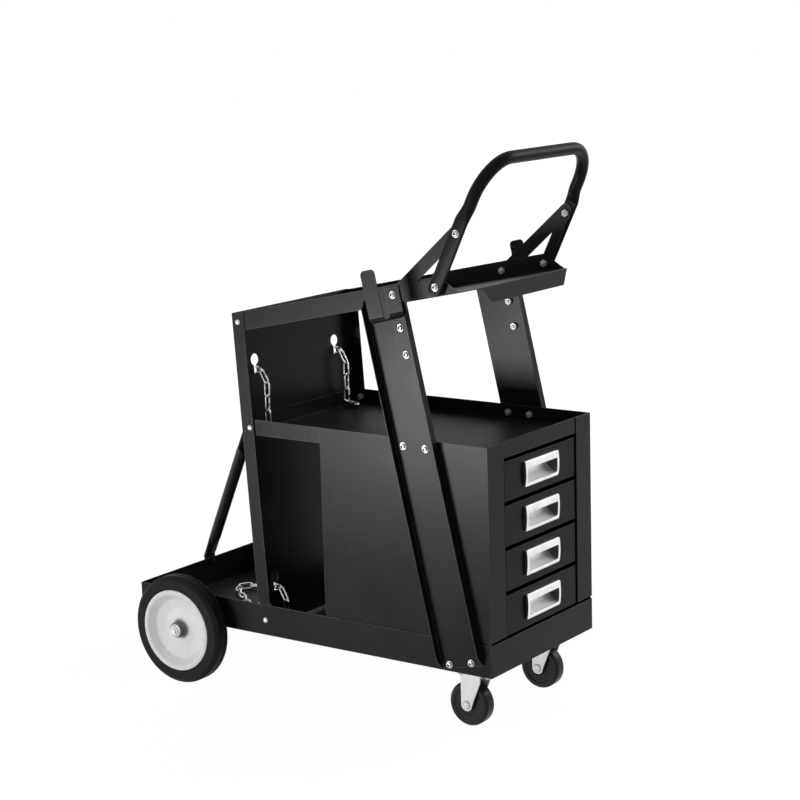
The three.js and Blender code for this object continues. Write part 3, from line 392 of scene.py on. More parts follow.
def disc_material(name, colour):
    """Silver paint on pressed steel: satin, a little uneven, with painted shade darkening it round the boss."""
    material, tree, shader = new_material(name)
    grain = use_group(tree, "surface_grain", Scale=520.0, Patch=26.0)
    rubbed = use_group(tree, "edge_wear_and_sheen", Radius=0.0012, Amount=0.35)
    plain = mix_colour(tree, grain["Tone"], rgba(colour, 0.93), rgba(colour, 1.05))
    low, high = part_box("rear_tyre_right")
    place = add_node(tree, "ShaderNodeTexCoord").outputs["Object"]
    level = add_node(tree, "ShaderNodeVectorMath", {0: place, 1: (1, 0, 1)}, operation="MULTIPLY")
    reach = add_node(tree, "ShaderNodeVectorMath",
                     {0: level.outputs[0], 1: ((low.x + high.x) / 2, 0, (low.z + high.z) / 2)},
                     operation="DISTANCE").outputs["Value"]
    # Painted shade: the disc is darkened in a ring round the boss, where the dish and boss fall into shade.
    painted_shade = maths(tree, "MULTIPLY", remap(tree, reach, 0.019, 0.0128, 0.0, 1.0),
                  remap(tree, noise(tree, 40.0, 4.0), 0.2, 0.6, 0.75, 1.0))
    hub_shaded = mix_colour(tree, painted_shade, plain, rgba(colour, 0.1))
    tree.links.new(mix_colour(tree, rubbed["Mask"], hub_shaded, rgba(colour, 0.7)), shader.inputs["Base Color"])
    tree.links.new(remap(tree, grain["Tone"], 0.0, 1.0, 0.46, 0.56), shader.inputs["Roughness"])
    shader.inputs["Specular IOR Level"].default_value = 0.2
    bump(tree, shader, grain["Height"], 0.00004, 0.5)
    return material


def rubber_material(name, colour, gloss=0.55, scale=420.0, specular=0.06):
    """Moulded rubber: soft grain, greyer rubbed shoulders."""
    material, tree, shader = new_material(name)
    grain = use_group(tree, "surface_grain", Scale=scale, Patch=18.0)
    rubbed = use_group(tree, "edge_wear_and_sheen", Radius=0.003, Amount=0.5)
    plain = mix_colour(tree, grain["Tone"], rgba(colour, 0.85), rgba(colour, 1.25))
    tree.links.new(mix_colour(tree, rubbed["Mask"], plain, rgba(colour, 2.4)), shader.inputs["Base Color"])
    tree.links.new(remap(tree, grain["Tone"], 0.0, 1.0, gloss - 0.06, gloss + 0.1), shader.inputs["Roughness"])
    shader.inputs["Specular IOR Level"].default_value = specular
    bump(tree, shader, grain["Height"], 0.0001, 0.6)
    return material


MATERIALS = {}


def finish(name):
    """The material of a finish, made when it is first asked for."""
    colour = bpy.context.scene.cart_colour
    makers = {
        "sheet_coat": lambda: coat_material("sheet_coat", colour.coat, colour.worn_sheen, colour.dust),
        "drawer_coat": lambda: coat_material(
            "drawer_coat", colour.coat, colour.worn_sheen, colour.dust, gloss=0.28, wear_and_sheen=0.4, dusty=0.1,
            specular=0.07),
        "tube_coat": lambda: coat_material(
            "tube_coat", colour.coat, colour.worn_sheen, colour.dust, gloss=0.32, depth=0.00005, wear_and_sheen=0.3, dusty=0.1,
            specular=0.05),
        "zinc_plate": lambda: plate_material("zinc_plate", colour.zinc, 0.4, metal=0.3),
        "pull_plate": lambda: plate_material("pull_plate", colour.bright, 0.44, 180.0, 0.00001, shaded_ends=True),
        "chain_plate": lambda: plate_material("chain_plate", colour.bright, 0.26, 400.0),
        "bolt_plate": lambda: plate_material("bolt_plate", colour.zinc, 0.28, 500.0, metal=0.75),
        "disc_paint": lambda: disc_material("disc_paint", colour.disc),
        "tyre_rubber": lambda: rubber_material("tyre_rubber", colour.rubber),
        # Painted shade for the bolt sockets, in the dark rubber colour.
        "socket_shade": lambda: rubber_material("socket_shade", colour.rubber, 0.7, 900.0),
        "caster_rubber": lambda: rubber_material("caster_rubber", colour.rubber, 0.3, 600.0, 0.16),
    }
    if name not in MATERIALS:
        MATERIALS[name] = makers[name]()
    return MATERIALS[name]


# Mesh helpers


def add_piece(name, mesh, material, body, nodes=(), crease=35.0, level=False):
    """A finished piece: smooth but for its creases, riding on its body, in place of the named nodes."""
    bmesh.ops.recalc_face_normals(mesh, faces=mesh.faces)
    data = bpy.data.meshes.new(name)
    mesh.to_mesh(data)
    mesh.free()
    data.polygons.foreach_set("use_smooth", [True] * len(data.polygons))
    data.set_sharp_from_angle(angle=math.radians(crease))
    piece = bpy.data.objects.new(name, data)
    bpy.context.scene.collection.objects.link(piece)
    data.materials.append(finish(material))
    if level:
        weigh = piece.modifiers.new("level_faces", "WEIGHTED_NORMAL")
        weigh.keep_sharp = True
    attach(piece, body)
    if nodes:
        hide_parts(*nodes)
    return piece


def round_corners(points, steps=5, closed=False):
    """A polyline of (u, v, radius) with an arc of that radius at each corner."""
    count = len(points)
    path = []
    for i, (u, v, radius) in enumerate(points):
        here = Vector((u, v))
        if radius <= 0 or (not closed and i in (0, count - 1)):
            path.append(here)
            continue
        back = Vector(points[i - 1][:2]) - here
        ahead = Vector(points[(i + 1) % count][:2]) - here
        corner = back.angle(ahead)
        reach = radius / math.tan(corner / 2)
        reach = min(reach, 0.49 * back.length, 0.49 * ahead.length)
        true_radius = reach * math.tan(corner / 2)
        centre = here + (back.normalized() + ahead.normalized()).normalized() * (
            true_radius / math.sin(corner / 2))
        start = here + back.normalized() * reach - centre
        end = here + ahead.normalized() * reach - centre
        sweep = start.angle_signed(end)
        for k in range(steps + 1):
            path.append(centre + Matrix.Rotation(-sweep * k / steps, 2) @ start)
    return path


def turn(mesh, profile, steps, place, closed=True):
    """Revolves (radius, height) points in millimetres about the z axis of the given place."""
    rings = []
    for radius, height in profile:
        if radius < 1e-6:
            rings.append([mesh.verts.new(place @ Vector((0, 0, height * MM)))])
            continue
        ring = []
        for k in range(steps):
            angle = 2 * math.pi * k / steps
            ring.append(mesh.verts.new(place @ Vector(
                (radius * MM * math.cos(angle), radius * MM * math.sin(angle), height * MM))))
        rings.append(ring)
    pairs = list(zip(rings, rings[1:]))
    if closed:
        pairs.append((rings[-1], rings[0]))
    for first, second in pairs:
        if len(first) == 1 and len(second) == 1:
            continue
        for k in range(steps):
            n = (k + 1) % steps
            corners = [first[k % len(first)], first[n % len(first)],
                       second[n % len(second)], second[k % len(second)]]
            face = list(dict.fromkeys(corners))
            if len(face) > 2:
                mesh.faces.new(face)


def axis_place(at, axis):
    """A frame whose z axis points along the given axis, at a point in metres."""
    return Matrix.Translation(at) @ Vector(axis).to_track_quat("Z", "Y").to_matrix().to_4x4()


def skin_rings(mesh, rings, close_ends=True, loop=False):
    """Quads between rings of points that all have the same count."""
    made = [[mesh.verts.new(point) for point in ring] for ring in rings]
    count = len(made[0])
    pairs = list(zip(made, made[1:]))
    if loop:
        pairs.append((made[-1], made[0]))
    for first, second in pairs:
        for k in range(count):
            n = (k + 1) % count
            mesh.faces.new((first[k], first[n], second[n], second[k]))
    if close_ends and not loop:
        mesh.faces.new(made[0])
        mesh.faces.new(made[-1])


def pressed_ring(at, along, wide, width, thick, sides):
    """A ring of a tube that is pressed to the given width and thickness: straight sides, round edges."""
    across = (wide - along * wide.dot(along)).normalized()
    up = along.cross(across).normalized()
    straight = (width - thick) / 2
    ring = []
    for k in range(sides):
        angle = 2 * math.pi * (k + 0.5) / sides
        shift = math.copysign(straight, math.cos(angle)) + math.cos(angle) * thick / 2
        ring.append(at + across * shift * MM + up * math.sin(angle) * thick / 2 * MM)
    return ring


def smooth_step(t):
    return t * t * (3 - 2 * t)


# Sheet metal


def face_width(face):
    return 2 * face.calc_area() / face.calc_perimeter()


def sheet_copy(node, fold, edge, ease=None):
    """The node's sheet, eased where it is asked for, with its folds rounded and its cut edges softened."""
    mesh = bmesh.new()
    mesh.from_mesh(frame["nodes"][node].data)
    bmesh.ops.remove_doubles(mesh, verts=mesh.verts, dist=2e-7)
    bmesh.ops.dissolve_limit(
        mesh, angle_limit=math.radians(0.6), verts=mesh.verts, edges=mesh.edges)
    if ease:
        ease(mesh)
    wide = {face for face in mesh.faces if face_width(face) > 2.6 * MM}
    folds = [seam for seam in mesh.edges
             if len(seam.link_faces) == 2 and all(face in wide for face in seam.link_faces)
             and seam.is_convex and seam.calc_face_angle() > math.radians(40)]
    if fold > 0 and folds:
        bmesh.ops.bevel(mesh, geom=folds, offset=fold, offset_type="OFFSET", segments=3,
                        profile=0.5, affect="EDGES", clamp_overlap=False)
    sharp = [seam for seam in mesh.edges
             if len(seam.link_faces) == 2 and seam.calc_face_angle() > math.radians(38)]
    if edge > 0 and sharp:
        bmesh.ops.bevel(mesh, geom=sharp, offset=edge, offset_type="OFFSET", segments=1,
                        profile=0.5, affect="EDGES", clamp_overlap=False)
    return mesh


def eased_front(node, drop):
    """Lowers the top of a drawer's front, narrows it and turns its return down, so that its gaps show dark."""
    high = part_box(node)[1]

    def ease(mesh):
        for vert in mesh.verts:
            if abs(vert.co.y) > high.y - 12 * MM:
                vert.co.y -= math.copysign(FRONT_PLAY * MM, vert.co.y)
            if vert.co.z > high.z - 1.5 * SHEET * MM:
                tucked = vert.co.x < high.x - 3 * SHEET * MM
                vert.co.z -= (drop + (RETURN_TUCK if tucked else 0.0)) * MM
    return ease


class CART_OT_sheet_metal(bpy.types.Operator):
    """Makes the pans, panels, uprights, brackets, hooks and drawers with rounded folds"""

    bl_idname = "cart.sheet_metal"
    bl_label = "Sheet metal"

    def execute(self, context):
        shape = context.scene.cart_shape
        fold = shape.fold_radius
        edge = shape.cut_edge
        folded = ["base_tray", "mid_shelf", "rear_panel", "top_tray", "cabinet_back"]
        for side, _ in SIDES:
            folded += [f"side_panel_{side}", f"upright_{side}"]
        for node in folded:
            add_piece(f"{node}_folded", sheet_copy(node, fold, edge), "sheet_coat", "cart",
                      [node], level=True)
        for side, _ in SIDES:
            for node in (f"handle_bracket_{side}", f"cable_hook_{side}", f"axle_bracket_{side}"):
                add_piece(f"{node}_coated", sheet_copy(node, 0, edge), "sheet_coat", "cart",
                          [node], level=True)
        for i in range(1, 5):
            eased = eased_front(f"drawer_{i}", 3.0 if i == 1 else 1.5)
            add_piece(f"drawer_{i}_folded", sheet_copy(f"drawer_{i}", fold, edge, eased), "drawer_coat",
                      f"drawer_body_{i}", [f"drawer_{i}"], level=True)
        return {"FINISHED"}


class CART_OT_kept_nodes(bpy.types.Operator):
    """Gives the pieces that stay as they are in the frame their finishes"""

    bl_idname = "cart.kept_nodes"
    bl_label = "Finishes of plain pieces"

    def execute(self, context):
        kept = ["rear_axle"]
        for side, _ in SIDES:
            kept += [f"drawer_runner_{i}_{side}" for i in range(1, 5)]
        for node in kept:
            piece = frame["nodes"][node]
            for place in piece.material_slots:
                place.material = finish("zinc_plate")
        return {"FINISHED"}


# Drawer pulls

PULL_HALF_WIDTH = 47.5
PULL_HALF_HEIGHT = 19.5
PULL_PROUD = 4.0
PULL_EDGE = 3.2
PULL_CROWN = 2.0
PULL_MOUTH_TOP = 8.6
PULL_CUP_HALF_WIDTH = 43.0
PULL_CUP_HALF_HEIGHT = 15.0
PULL_SKIN = 0.8
PULL_DEPTH = 15.0


def rounded_frame(depth, half_width, low, high, radius, per_corner=6, per_side=7):
    """Points of an upright rounded rectangle in (depth, across, up), in millimetres."""
    arcs = []
    for quarter, (side, level) in enumerate(((1, high), (-1, high), (-1, low), (1, low))):
        rise = 1 if level == high else -1
        arc = []
        for k in range(per_corner + 1):
            angle = math.pi / 2 * (quarter + k / per_corner)
            arc.append(Vector((depth, side * (half_width - radius) + math.cos(angle) * radius,
                               level - rise * radius + math.sin(angle) * radius)))
        arcs.append(arc)
    points = []
    for arc, following in zip(arcs, arcs[1:] + arcs[:1]):
        points += arc
        points += [arc[-1].lerp(following[0], (k + 1) / (per_side + 1)) for k in range(per_side)]
    return points


def crowned(ring):
    """The ring with its front bulged, most a little above the middle."""
    return [point + Vector((PULL_CROWN * (1 - ((point.z - 2) / (PULL_HALF_HEIGHT + 2)) ** 2), 0, 0))
            for point in ring]


def pull_mesh(face, middle):
    """A bright cup pull: bulged bezel, deep upper lip and a scoop that runs back and up behind it."""
    bottom = PULL_SKIN - PULL_CUP_HALF_HEIGHT
    top = PULL_CUP_HALF_HEIGHT - PULL_SKIN
    inside = PULL_CUP_HALF_WIDTH - PULL_SKIN
    rear = -PULL_DEPTH
    deep = rear + PULL_SKIN
    brim = PULL_EDGE - PULL_SKIN

    def scoop(up):
        t = min(max((up - bottom) / (0.5 - bottom), 0.0), 1.0)
        return brim - 0.1 - (brim - deep) * (1 - (1 - t) ** 2)

    hw, hh = PULL_HALF_WIDTH, PULL_HALF_HEIGHT
    cup_w, cup_h = PULL_CUP_HALF_WIDTH, PULL_CUP_HALF_HEIGHT
    rings = [
        rounded_frame(rear, cup_w - 3, -cup_h + 3, cup_h - 3, 2.0),
        rounded_frame(rear + 1.0, cup_w - 0.8, -cup_h + 0.8, cup_h - 0.8, 2.5),
        rounded_frame(rear + 3.0, cup_w, -cup_h, cup_h, 3.0),
        rounded_frame(0.0, cup_w, -cup_h, cup_h, 3.0),
        rounded_frame(0.0, hw - 0.3, -hh + 0.3, hh - 0.3, 2.2),
        rounded_frame(0.3, hw, -hh, hh, 2.5),
    ]
    for k in range(5):
        angle = math.pi / 2 * k / 4
        inset = 0.8 * (1 - math.cos(angle))
        rings.append(crowned(rounded_frame(
            PULL_EDGE - 0.8 + 0.8 * math.sin(angle), hw - inset, -hh + inset, hh - inset, 2.5)))
    for k in range(5):
        angle = math.pi / 2 * k / 4
        inset = 0.7 * (1 - math.sin(angle))
        rings.append(crowned(rounded_frame(
            PULL_EDGE - 0.7 + 0.7 * math.cos(angle), inside + inset, bottom - inset,
            PULL_MOUTH_TOP + inset, 1.8)))
    rings.append(crowned(rounded_frame(brim, inside, bottom, PULL_MOUTH_TOP, 1.8)))
    rings.append(rounded_frame(brim - 0.05, inside, bottom, top, 1.8))
    centre = (bottom + top) / 2
    for shrink in (1.0, 0.97, 0.93, 0.87, 0.79, 0.7, 0.6, 0.5, 0.4, 0.3, 0.2, 0.1):
        ring = rounded_frame(0, inside * shrink, centre - (centre - bottom) * shrink,
                             centre + (top - centre) * shrink, 1.8 * shrink)
        rings.append([Vector((scoop(point.z), point.y, point.z)) for point in ring])
    mesh = bmesh.new()
    skin_rings(mesh, [[Vector((face + point.x * MM, point.y * MM, middle + point.z * MM))
                       for point in ring] for ring in rings])
    bmesh.ops.triangulate(mesh, faces=[face_ for face_ in mesh.faces if len(face_.verts) > 4])
    return mesh


class CART_OT_drawer_pulls(bpy.types.Operator):
    """Makes the four bright cup pulls"""

    bl_idname = "cart.drawer_pulls"
    bl_label = "Drawer pulls"

    def execute(self, context):
        for i in range(1, 5):
            low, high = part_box(f"drawer_pull_{i}")
            middle = (low.z + high.z) / 2
            face = high.x - PULL_PROUD * MM
            add_piece(f"drawer_pull_{i}_bright", pull_mesh(face, middle), "pull_plate",
                      f"drawer_body_{i}", [f"drawer_pull_{i}"], crease=40)
        return {"FINISHED"}


# Rear wheels

TYRE_INNER = 157.0
TYRE_OUTER = 188.0
WHEEL_RADIUS = 89.0
DISC_EDGE = 67.0


def tyre_profile():
    """Half of the tyre's section: (radius, distance from the cart's middle plane)."""
    middle = (TYRE_INNER + TYRE_OUTER) / 2
    return round_corners([
        (DISC_EDGE + 0.3, TYRE_INNER, 0.5), (WHEEL_RADIUS - 6.8, TYRE_INNER, 3.0),
        (WHEEL_RADIUS, TYRE_INNER + 6.0, 3.0), (WHEEL_RADIUS, middle - 0.9, 0),
        (WHEEL_RADIUS - 0.35, middle, 0), (WHEEL_RADIUS, middle + 0.9, 0),
        (WHEEL_RADIUS, TYRE_OUTER - 6.0, 3.0), (WHEEL_RADIUS - 6.8, TYRE_OUTER, 3.0),
        (DISC_EDGE + 3.2, TYRE_OUTER, 0.8), (DISC_EDGE + 0.3, TYRE_OUTER - 1.4, 0.5),
    ], closed=True)


def disc_profile():
    """The pressed disc: rolled rim, step, dished web and boss."""
    return round_corners([
        (5.3, 147.3, 0.3), (15.0, 147.3, 0.8), (15.0, 172.0, 3.0), (32.0, 168.5, 12.0), (51.0, 175.4, 8.0),
        (60.6, 184.6, 2.0), (63.0, TYRE_INNER, 0.4), (DISC_EDGE, TYRE_INNER, 0.6), (DISC_EDGE, TYRE_OUTER + 0.6, 0.9),
        (63.4, 190.0, 1.6), (59.6, 188.4, 2.2), (50.0, 178.0, 9.0), (32.0, 171.5, 14.0), (13.6, 176.5, 4.0),
        (12.4, TYRE_OUTER, 1.0), (5.3, TYRE_OUTER, 0.4),
    ], closed=True)


def hub_cap_profile():
    """The domed push nut on the axle's end."""
    return round_corners([
        (5.3, 188.3, 0), (10.4, 188.3, 0.3), (10.4, 189.4, 0.5), (8.6, 190.2, 0.8),
        (7.2, 193.3, 1.2), (5.3, 193.3, 0.3),
    ], closed=True)


class CART_OT_rear_wheels(bpy.types.Operator):
    """Makes the rear tyres, their pressed discs and the nuts on the axle"""

    bl_idname = "cart.rear_wheels"
    bl_label = "Rear wheels"

    def execute(self, context):
        steps = context.scene.cart_shape.wheel_steps
        for side, sign in SIDES:
            low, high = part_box(f"rear_tyre_{side}")
            hub = Vector(((low.x + high.x) / 2, 0, (low.z + high.z) / 2))
            place = axis_place(hub, (0, sign, 0))
            body = f"rear_wheel_{side}"
            tyre = bmesh.new()
            turn(tyre, tyre_profile(), steps, place)
            add_piece(f"rear_tyre_{side}_moulded", tyre, "tyre_rubber", body,
                      [f"rear_tyre_{side}"])
            disc = bmesh.new()
            turn(disc, disc_profile(), steps, place)
            add_piece(f"rear_wheel_disc_{side}_pressed", disc, "disc_paint", body,
                      [f"rear_wheel_disc_{side}"])
            cap = bmesh.new()
            turn(cap, hub_cap_profile(), 48, place)
            add_piece(f"axle_nut_{side}_domed", cap, "zinc_plate", "cart", [f"axle_nut_{side}"])
        return {"FINISHED"}


# Casters

CASTER_RADIUS = 34.5
CASTER_HALF = 11.5
CASTER_BOSS = 13.2
FORK_WAIST = 12.0


def caster_wheel_profile():
    half = [
        (4.3, CASTER_BOSS, 0.3), (9.0, CASTER_BOSS, 0.6), (9.0, CASTER_HALF - 2.0, 1.0),
        (24.0, CASTER_HALF - 2.0, 1.2), (26.0, CASTER_HALF, 0.6), (31.0, CASTER_HALF, 1.6),
        (CASTER_RADIUS, CASTER_HALF - 3.4, 2.6),
    ]
    other = [(radius, -height, rounding) for radius, height, rounding in reversed(half)]
    return round_corners(half + other, closed=True)


def rivet_profile():
    half = [(0.0, 19.0, 0), (3.2, 19.0, 0.3), (3.6, 18.4, 0.3), (5.2, 18.5, 0.5), (7.0, 16.7, 0.8),
            (7.0, 16.3, 0), (4.0, 16.3, 0)]
    other = [(radius, -height, rounding) for radius, height, rounding in reversed(half)]
    return round_corners(half + other)


def add_ball(mesh, at, radius, steps=10):
    """A race ball, as half a dozen rings between its poles."""
    profile = [(radius * math.sin(math.pi * k / 6), -radius * math.cos(math.pi * k / 6)) for k in range(7)]
    turn(mesh, profile, steps, Matrix.Translation(at), closed=False)


def waisted_fork(node):
    """Draws in the front edges of a fork's legs, so that the race shows before them."""
    low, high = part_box(node)

    def ease(mesh):
        front = max(vert.co.x for vert in mesh.verts if abs(vert.co.y - low.y) < MM)
        for vert in mesh.verts:
            off_centre = abs(vert.co.y - (low.y + high.y) / 2)
            if vert.co.x > front - MM and off_centre > 5 * MM:
                vert.co.x -= FORK_WAIST * MM
    return ease


class CART_OT_casters(bpy.types.Operator):
    """Makes the caster wheels, forks, rivets, plates, races and balls"""

    bl_idname = "cart.casters"
    bl_label = "Casters"

    def execute(self, context):
        steps = context.scene.cart_shape.wheel_steps
        for side, sign in SIDES:
            low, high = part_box(f"caster_wheel_{side}")
            hub = (low + high) / 2
            place = axis_place(hub, (0, sign, 0))
            wheel = bmesh.new()
            turn(wheel, caster_wheel_profile(), steps, place)
            add_piece(f"caster_wheel_{side}_moulded", wheel, "caster_rubber", f"caster_roller_{side}",
                      [f"caster_wheel_{side}"])
            rivet = bmesh.new()
            turn(rivet, rivet_profile(), 36, place, closed=False)
            add_piece(f"caster_axle_{side}_riveted", rivet, "zinc_plate", f"caster_swivel_{side}",
                      [f"caster_axle_{side}"])
            fork = sheet_copy(f"caster_fork_{side}", 0, 0.5 * MM, waisted_fork(f"caster_fork_{side}"))
            add_piece(f"caster_fork_{side}_pressed", fork, "zinc_plate", f"caster_swivel_{side}",
                      [f"caster_fork_{side}"], level=True)
            self.plate(side)
        return {"FINISHED"}

    def plate(self, side):
        """The top plate with its race, a ring of balls and four nuts under the plate's corners."""
        low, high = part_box(f"caster_plate_{side}")
        centre = (low + high) / 2
        mesh = bmesh.new()
        reach = (high.x - low.x) / 2 / MM
        top = high.z
        rings = []
        for inset, drop in ((0.6, 0.0), (0.0, 0.5), (0.0, 2.0), (0.6, 2.5)):
            outline = rounded_frame(0, reach - inset, inset - reach, reach - inset, 5.0)
            rings.append([Vector((centre.x + u * MM, centre.y + v * MM, top - drop * MM))
                          for _, u, v in outline])
        skin_rings(mesh, rings)
        race = axis_place(Vector((centre.x, centre.y, low.z)), (0, 0, 1))
        turn(mesh, round_corners([
            (0.0, 0.0, 0), (15.2, 0.0, 0.4), (15.2, 1.2, 0), (12.0, 1.8, 0), (12.0, 4.6, 0),
            (17.4, 4.9, 0.3), (19.0, 5.6, 0.6), (19.0, 7.0, 0), (0.0, 7.0, 0),
        ]), 48, race, closed=False)
        for k in range(22):
            angle = 2 * math.pi * k / 22
            add_ball(mesh, Vector((centre.x + 14.6 * MM * math.cos(angle),
                                   centre.y + 14.6 * MM * math.sin(angle), low.z + 3.2 * MM)), 1.7)
        for u, v in ((1, 1), (1, -1), (-1, 1), (-1, -1)):
            at = Vector((centre.x + u * 25 * MM, centre.y + v * 25 * MM, top - 2.5 * MM))
            add_nut(mesh, at, Vector((0, 0, -1)), 10.0)
        add_piece(f"caster_plate_{side}_bolted", mesh, "zinc_plate", "cart",
                  [f"caster_plate_{side}"])


# Push handle and rear stay

TUBE_SIDES = 32
BEND_STEPS = 14


def pressed_end(at, along, wide, flat, sides, steps=5):
    """Rings that round off the end of a pressed tube, from the tip inwards."""
    rings = []
    for k in range(1, steps + 1):
        angle = math.pi / 2 * k / steps
        ahead = flat * 0.225 * math.sin(angle)
        width = flat * (0.55 + 0.45 * math.sin(angle))
        rings.append(pressed_ring(at + along * ahead * MM, along, wide, width, FLAT_THICK, sides))
    return rings


def handle_rings():
    wide = Vector((math.cos(HANDLE_LEAN), 0, -math.sin(HANDLE_LEAN)))
    rise = Vector((math.sin(HANDLE_LEAN), 0, math.cos(HANDLE_LEAN)))
    across = Vector((0, 1, 0))
    flat_y = HANDLE_FACE - FLAT_THICK / 2
    round_y = HANDLE_FACE - TUBE / 2
    low = row(HANDLE_LOW_X, 0, tray_floor(HANDLE_LOW_X) + TRAY_RIM / 2)

    def place(up, y):
        return low + (rise * up + across * y) * MM

    half = pressed_end(place(-HANDLE_TAIL, -flat_y), rise, wide, HANDLE_FLAT, TUBE_SIDES)
    flat_end = HANDLE_BOLT_PITCH + STRUT_RISE + HANDLE_TAIL
    round_start = HANDLE_REACH - HANDLE_BEND - TUBE / 2
    for k in range(9):
        t = k / 8
        s = smooth_step(t)
        up = flat_end + (round_start - flat_end) * t
        y = flat_y + (round_y - flat_y) * s
        half.append(pressed_ring(place(up, -y), rise, wide, HANDLE_FLAT + (TUBE - HANDLE_FLAT) * s,
                                 FLAT_THICK + (TUBE - FLAT_THICK) * s, TUBE_SIDES))
    for k in range(BEND_STEPS + 1):
        angle = math.pi / 2 * k / BEND_STEPS
        up = HANDLE_REACH - HANDLE_BEND * (1 - math.sin(angle))
        y = -round_y + HANDLE_BEND * (1 - math.cos(angle))
        along = rise * math.cos(angle) + across * math.sin(angle)
        half.append(pressed_ring(place(up, y), along, wide, TUBE, TUBE, TUBE_SIDES))
    other = [[Vector((point.x, -point.y, point.z)) for point in ring] for ring in half]
    return half + [list(reversed(ring)) for ring in reversed(other)]


class CART_OT_push_handle(bpy.types.Operator):
    """Makes the bent tube of the push handle with its two pressed ends"""

    bl_idname = "cart.push_handle"
    bl_label = "Push handle"

    def execute(self, context):
        mesh = bmesh.new()
        rings = handle_rings()
        middle = len(rings) // 2
        fixed = rings[:middle]
        for ring in rings[middle:]:
            lead = min(range(TUBE_SIDES), key=lambda k: (ring[k] - fixed[-1][0]).length)
            forward = [ring[(lead + k) % TUBE_SIDES] for k in range(TUBE_SIDES)]
            backward = [ring[(lead - k) % TUBE_SIDES] for k in range(TUBE_SIDES)]
            closer = min((forward, backward), key=lambda r: (r[TUBE_SIDES // 4] - fixed[-1][TUBE_SIDES // 4]).length)
            fixed.append(closer)
        skin_rings(mesh, fixed)
        add_piece("handle_tube_bent", mesh, "tube_coat", "cart", ["handle_tube"], crease=50)
        return {"FINISHED"}


def stay_rings():
    offset = GAP + FLAT_THICK / 2
    down = Vector((math.sin(PANEL_LEAN), 0, -math.cos(PANEL_LEAN)))
    top_y, top_z = STAY_TOP
    top = row(panel_rear(top_z) - offset, top_y, top_z)
    tab_end = top + down * STAY_TAB * MM
    foot = row(-BASE_HALF - offset, STAY_FOOT_Y, BASE_Z + BASE_RIM + FLAT_THICK - STAY_TAB)
    foot_end = foot + Vector((0, 0, STAY_TAB * MM))
    run = (foot_end - tab_end).normalized()
    wide = Vector((0, 1, 0))
    drop = Vector((0, 0, -1))
    rings = pressed_end(top, down, wide, FLAT_WIDTH, TUBE_SIDES)

    def flat(at, along):
        rings.append(pressed_ring(at, along, wide, FLAT_WIDTH, FLAT_THICK, TUBE_SIDES))

    def bend(at, before, after):
        for k in range(5):
            t = k / 4
            shift = (t - 0.5) * 5 * MM
            along = before.lerp(after, t).normalized()
            corner = at + (before if t < 0.5 else after) * shift
            flat(corner, along)

    def swell(start, end, opening):
        for k in range(7):
            t = k / 6
            s = smooth_step(t if opening else 1 - t)
            rings.append(pressed_ring(start.lerp(end, t), run, wide, FLAT_WIDTH + (TUBE - FLAT_WIDTH) * s,
                                      FLAT_THICK + (TUBE - FLAT_THICK) * s, TUBE_SIDES))

    bend(tab_end, down, run)
    swell(tab_end + run * STAY_PRESSED * MM, tab_end + run * (STAY_PRESSED + STAY_SWELL) * MM, True)
    swell(foot_end - run * (STAY_PRESSED + STAY_SWELL) * MM, foot_end - run * STAY_PRESSED * MM, False)
    bend(foot_end, run, drop)
    tip = pressed_end(foot, -drop, wide, FLAT_WIDTH, TUBE_SIDES)
    for ring in reversed(tip):
        rings.append(ring)
    return rings


def align_rings(rings):
    """The same rings with each one's points started and turned like those of the ring before it."""
    fixed = [rings[0]]
    count = len(rings[0])
    for ring in rings[1:]:
        before = fixed[-1]
        centre_shift = sum(ring, Vector()) / count - sum(before, Vector()) / count
        lead = min(range(count), key=lambda k: (ring[k] - centre_shift - before[0]).length)
        forward = [ring[(lead + k) % count] for k in range(count)]
        backward = [ring[(lead - k) % count] for k in range(count)]
        quarter = count // 4
        fixed.append(min((forward, backward),
                         key=lambda turned: (turned[quarter] - centre_shift - before[quarter]).length))
    return fixed


class CART_OT_rear_stay(bpy.types.Operator):
    """Makes the rear stay, a tube with both ends pressed flat"""

    bl_idname = "cart.rear_stay"
    bl_label = "Rear stay"

    def execute(self, context):
        mesh = bmesh.new()
        skin_rings(mesh, align_rings(stay_rings()))
        add_piece("rear_stay_pressed", mesh, "tube_coat", "cart", ["rear_stay"], crease=50)
        return {"FINISHED"}


# Chains

LEAD_ANGLE = math.radians(60)
CHAIN_STANDOFF = 24.0
UPPER_SAG = 45.0
LOOP_APEX_X = -280.0
LOOP_APEX_Y = 27.0
LOOP_ROUNDING = 0.8
ROUTE_SAMPLES = 200


def spline_point(points, t):
    """A point of the centripetal spline through the points."""
    last = len(points) - 1
    at = min(int(last * t), last - 1)
    w = last * t - at
    p1, p2 = points[at], points[at + 1]
    p0 = points[at - 1] if at > 0 else 2 * points[0] - points[1]
    p3 = points[at + 2] if at + 2 <= last else 2 * points[last] - points[last - 1]
    d0, d1, d2 = ((b - a).length ** 0.5 for a, b in ((p0, p1), (p1, p2), (p2, p3)))
    t1 = ((p1 - p0) / d0 - (p2 - p0) / (d0 + d1) + (p2 - p1) / d1) * d1
    t2 = ((p2 - p1) / d1 - (p3 - p1) / (d1 + d2) + (p3 - p2) / d2) * d1
    return p1 + t1 * w + (3 * (p2 - p1) - 2 * t1 - t2) * w ** 2 + (2 * (p1 - p2) + t1 + t2) * w ** 3


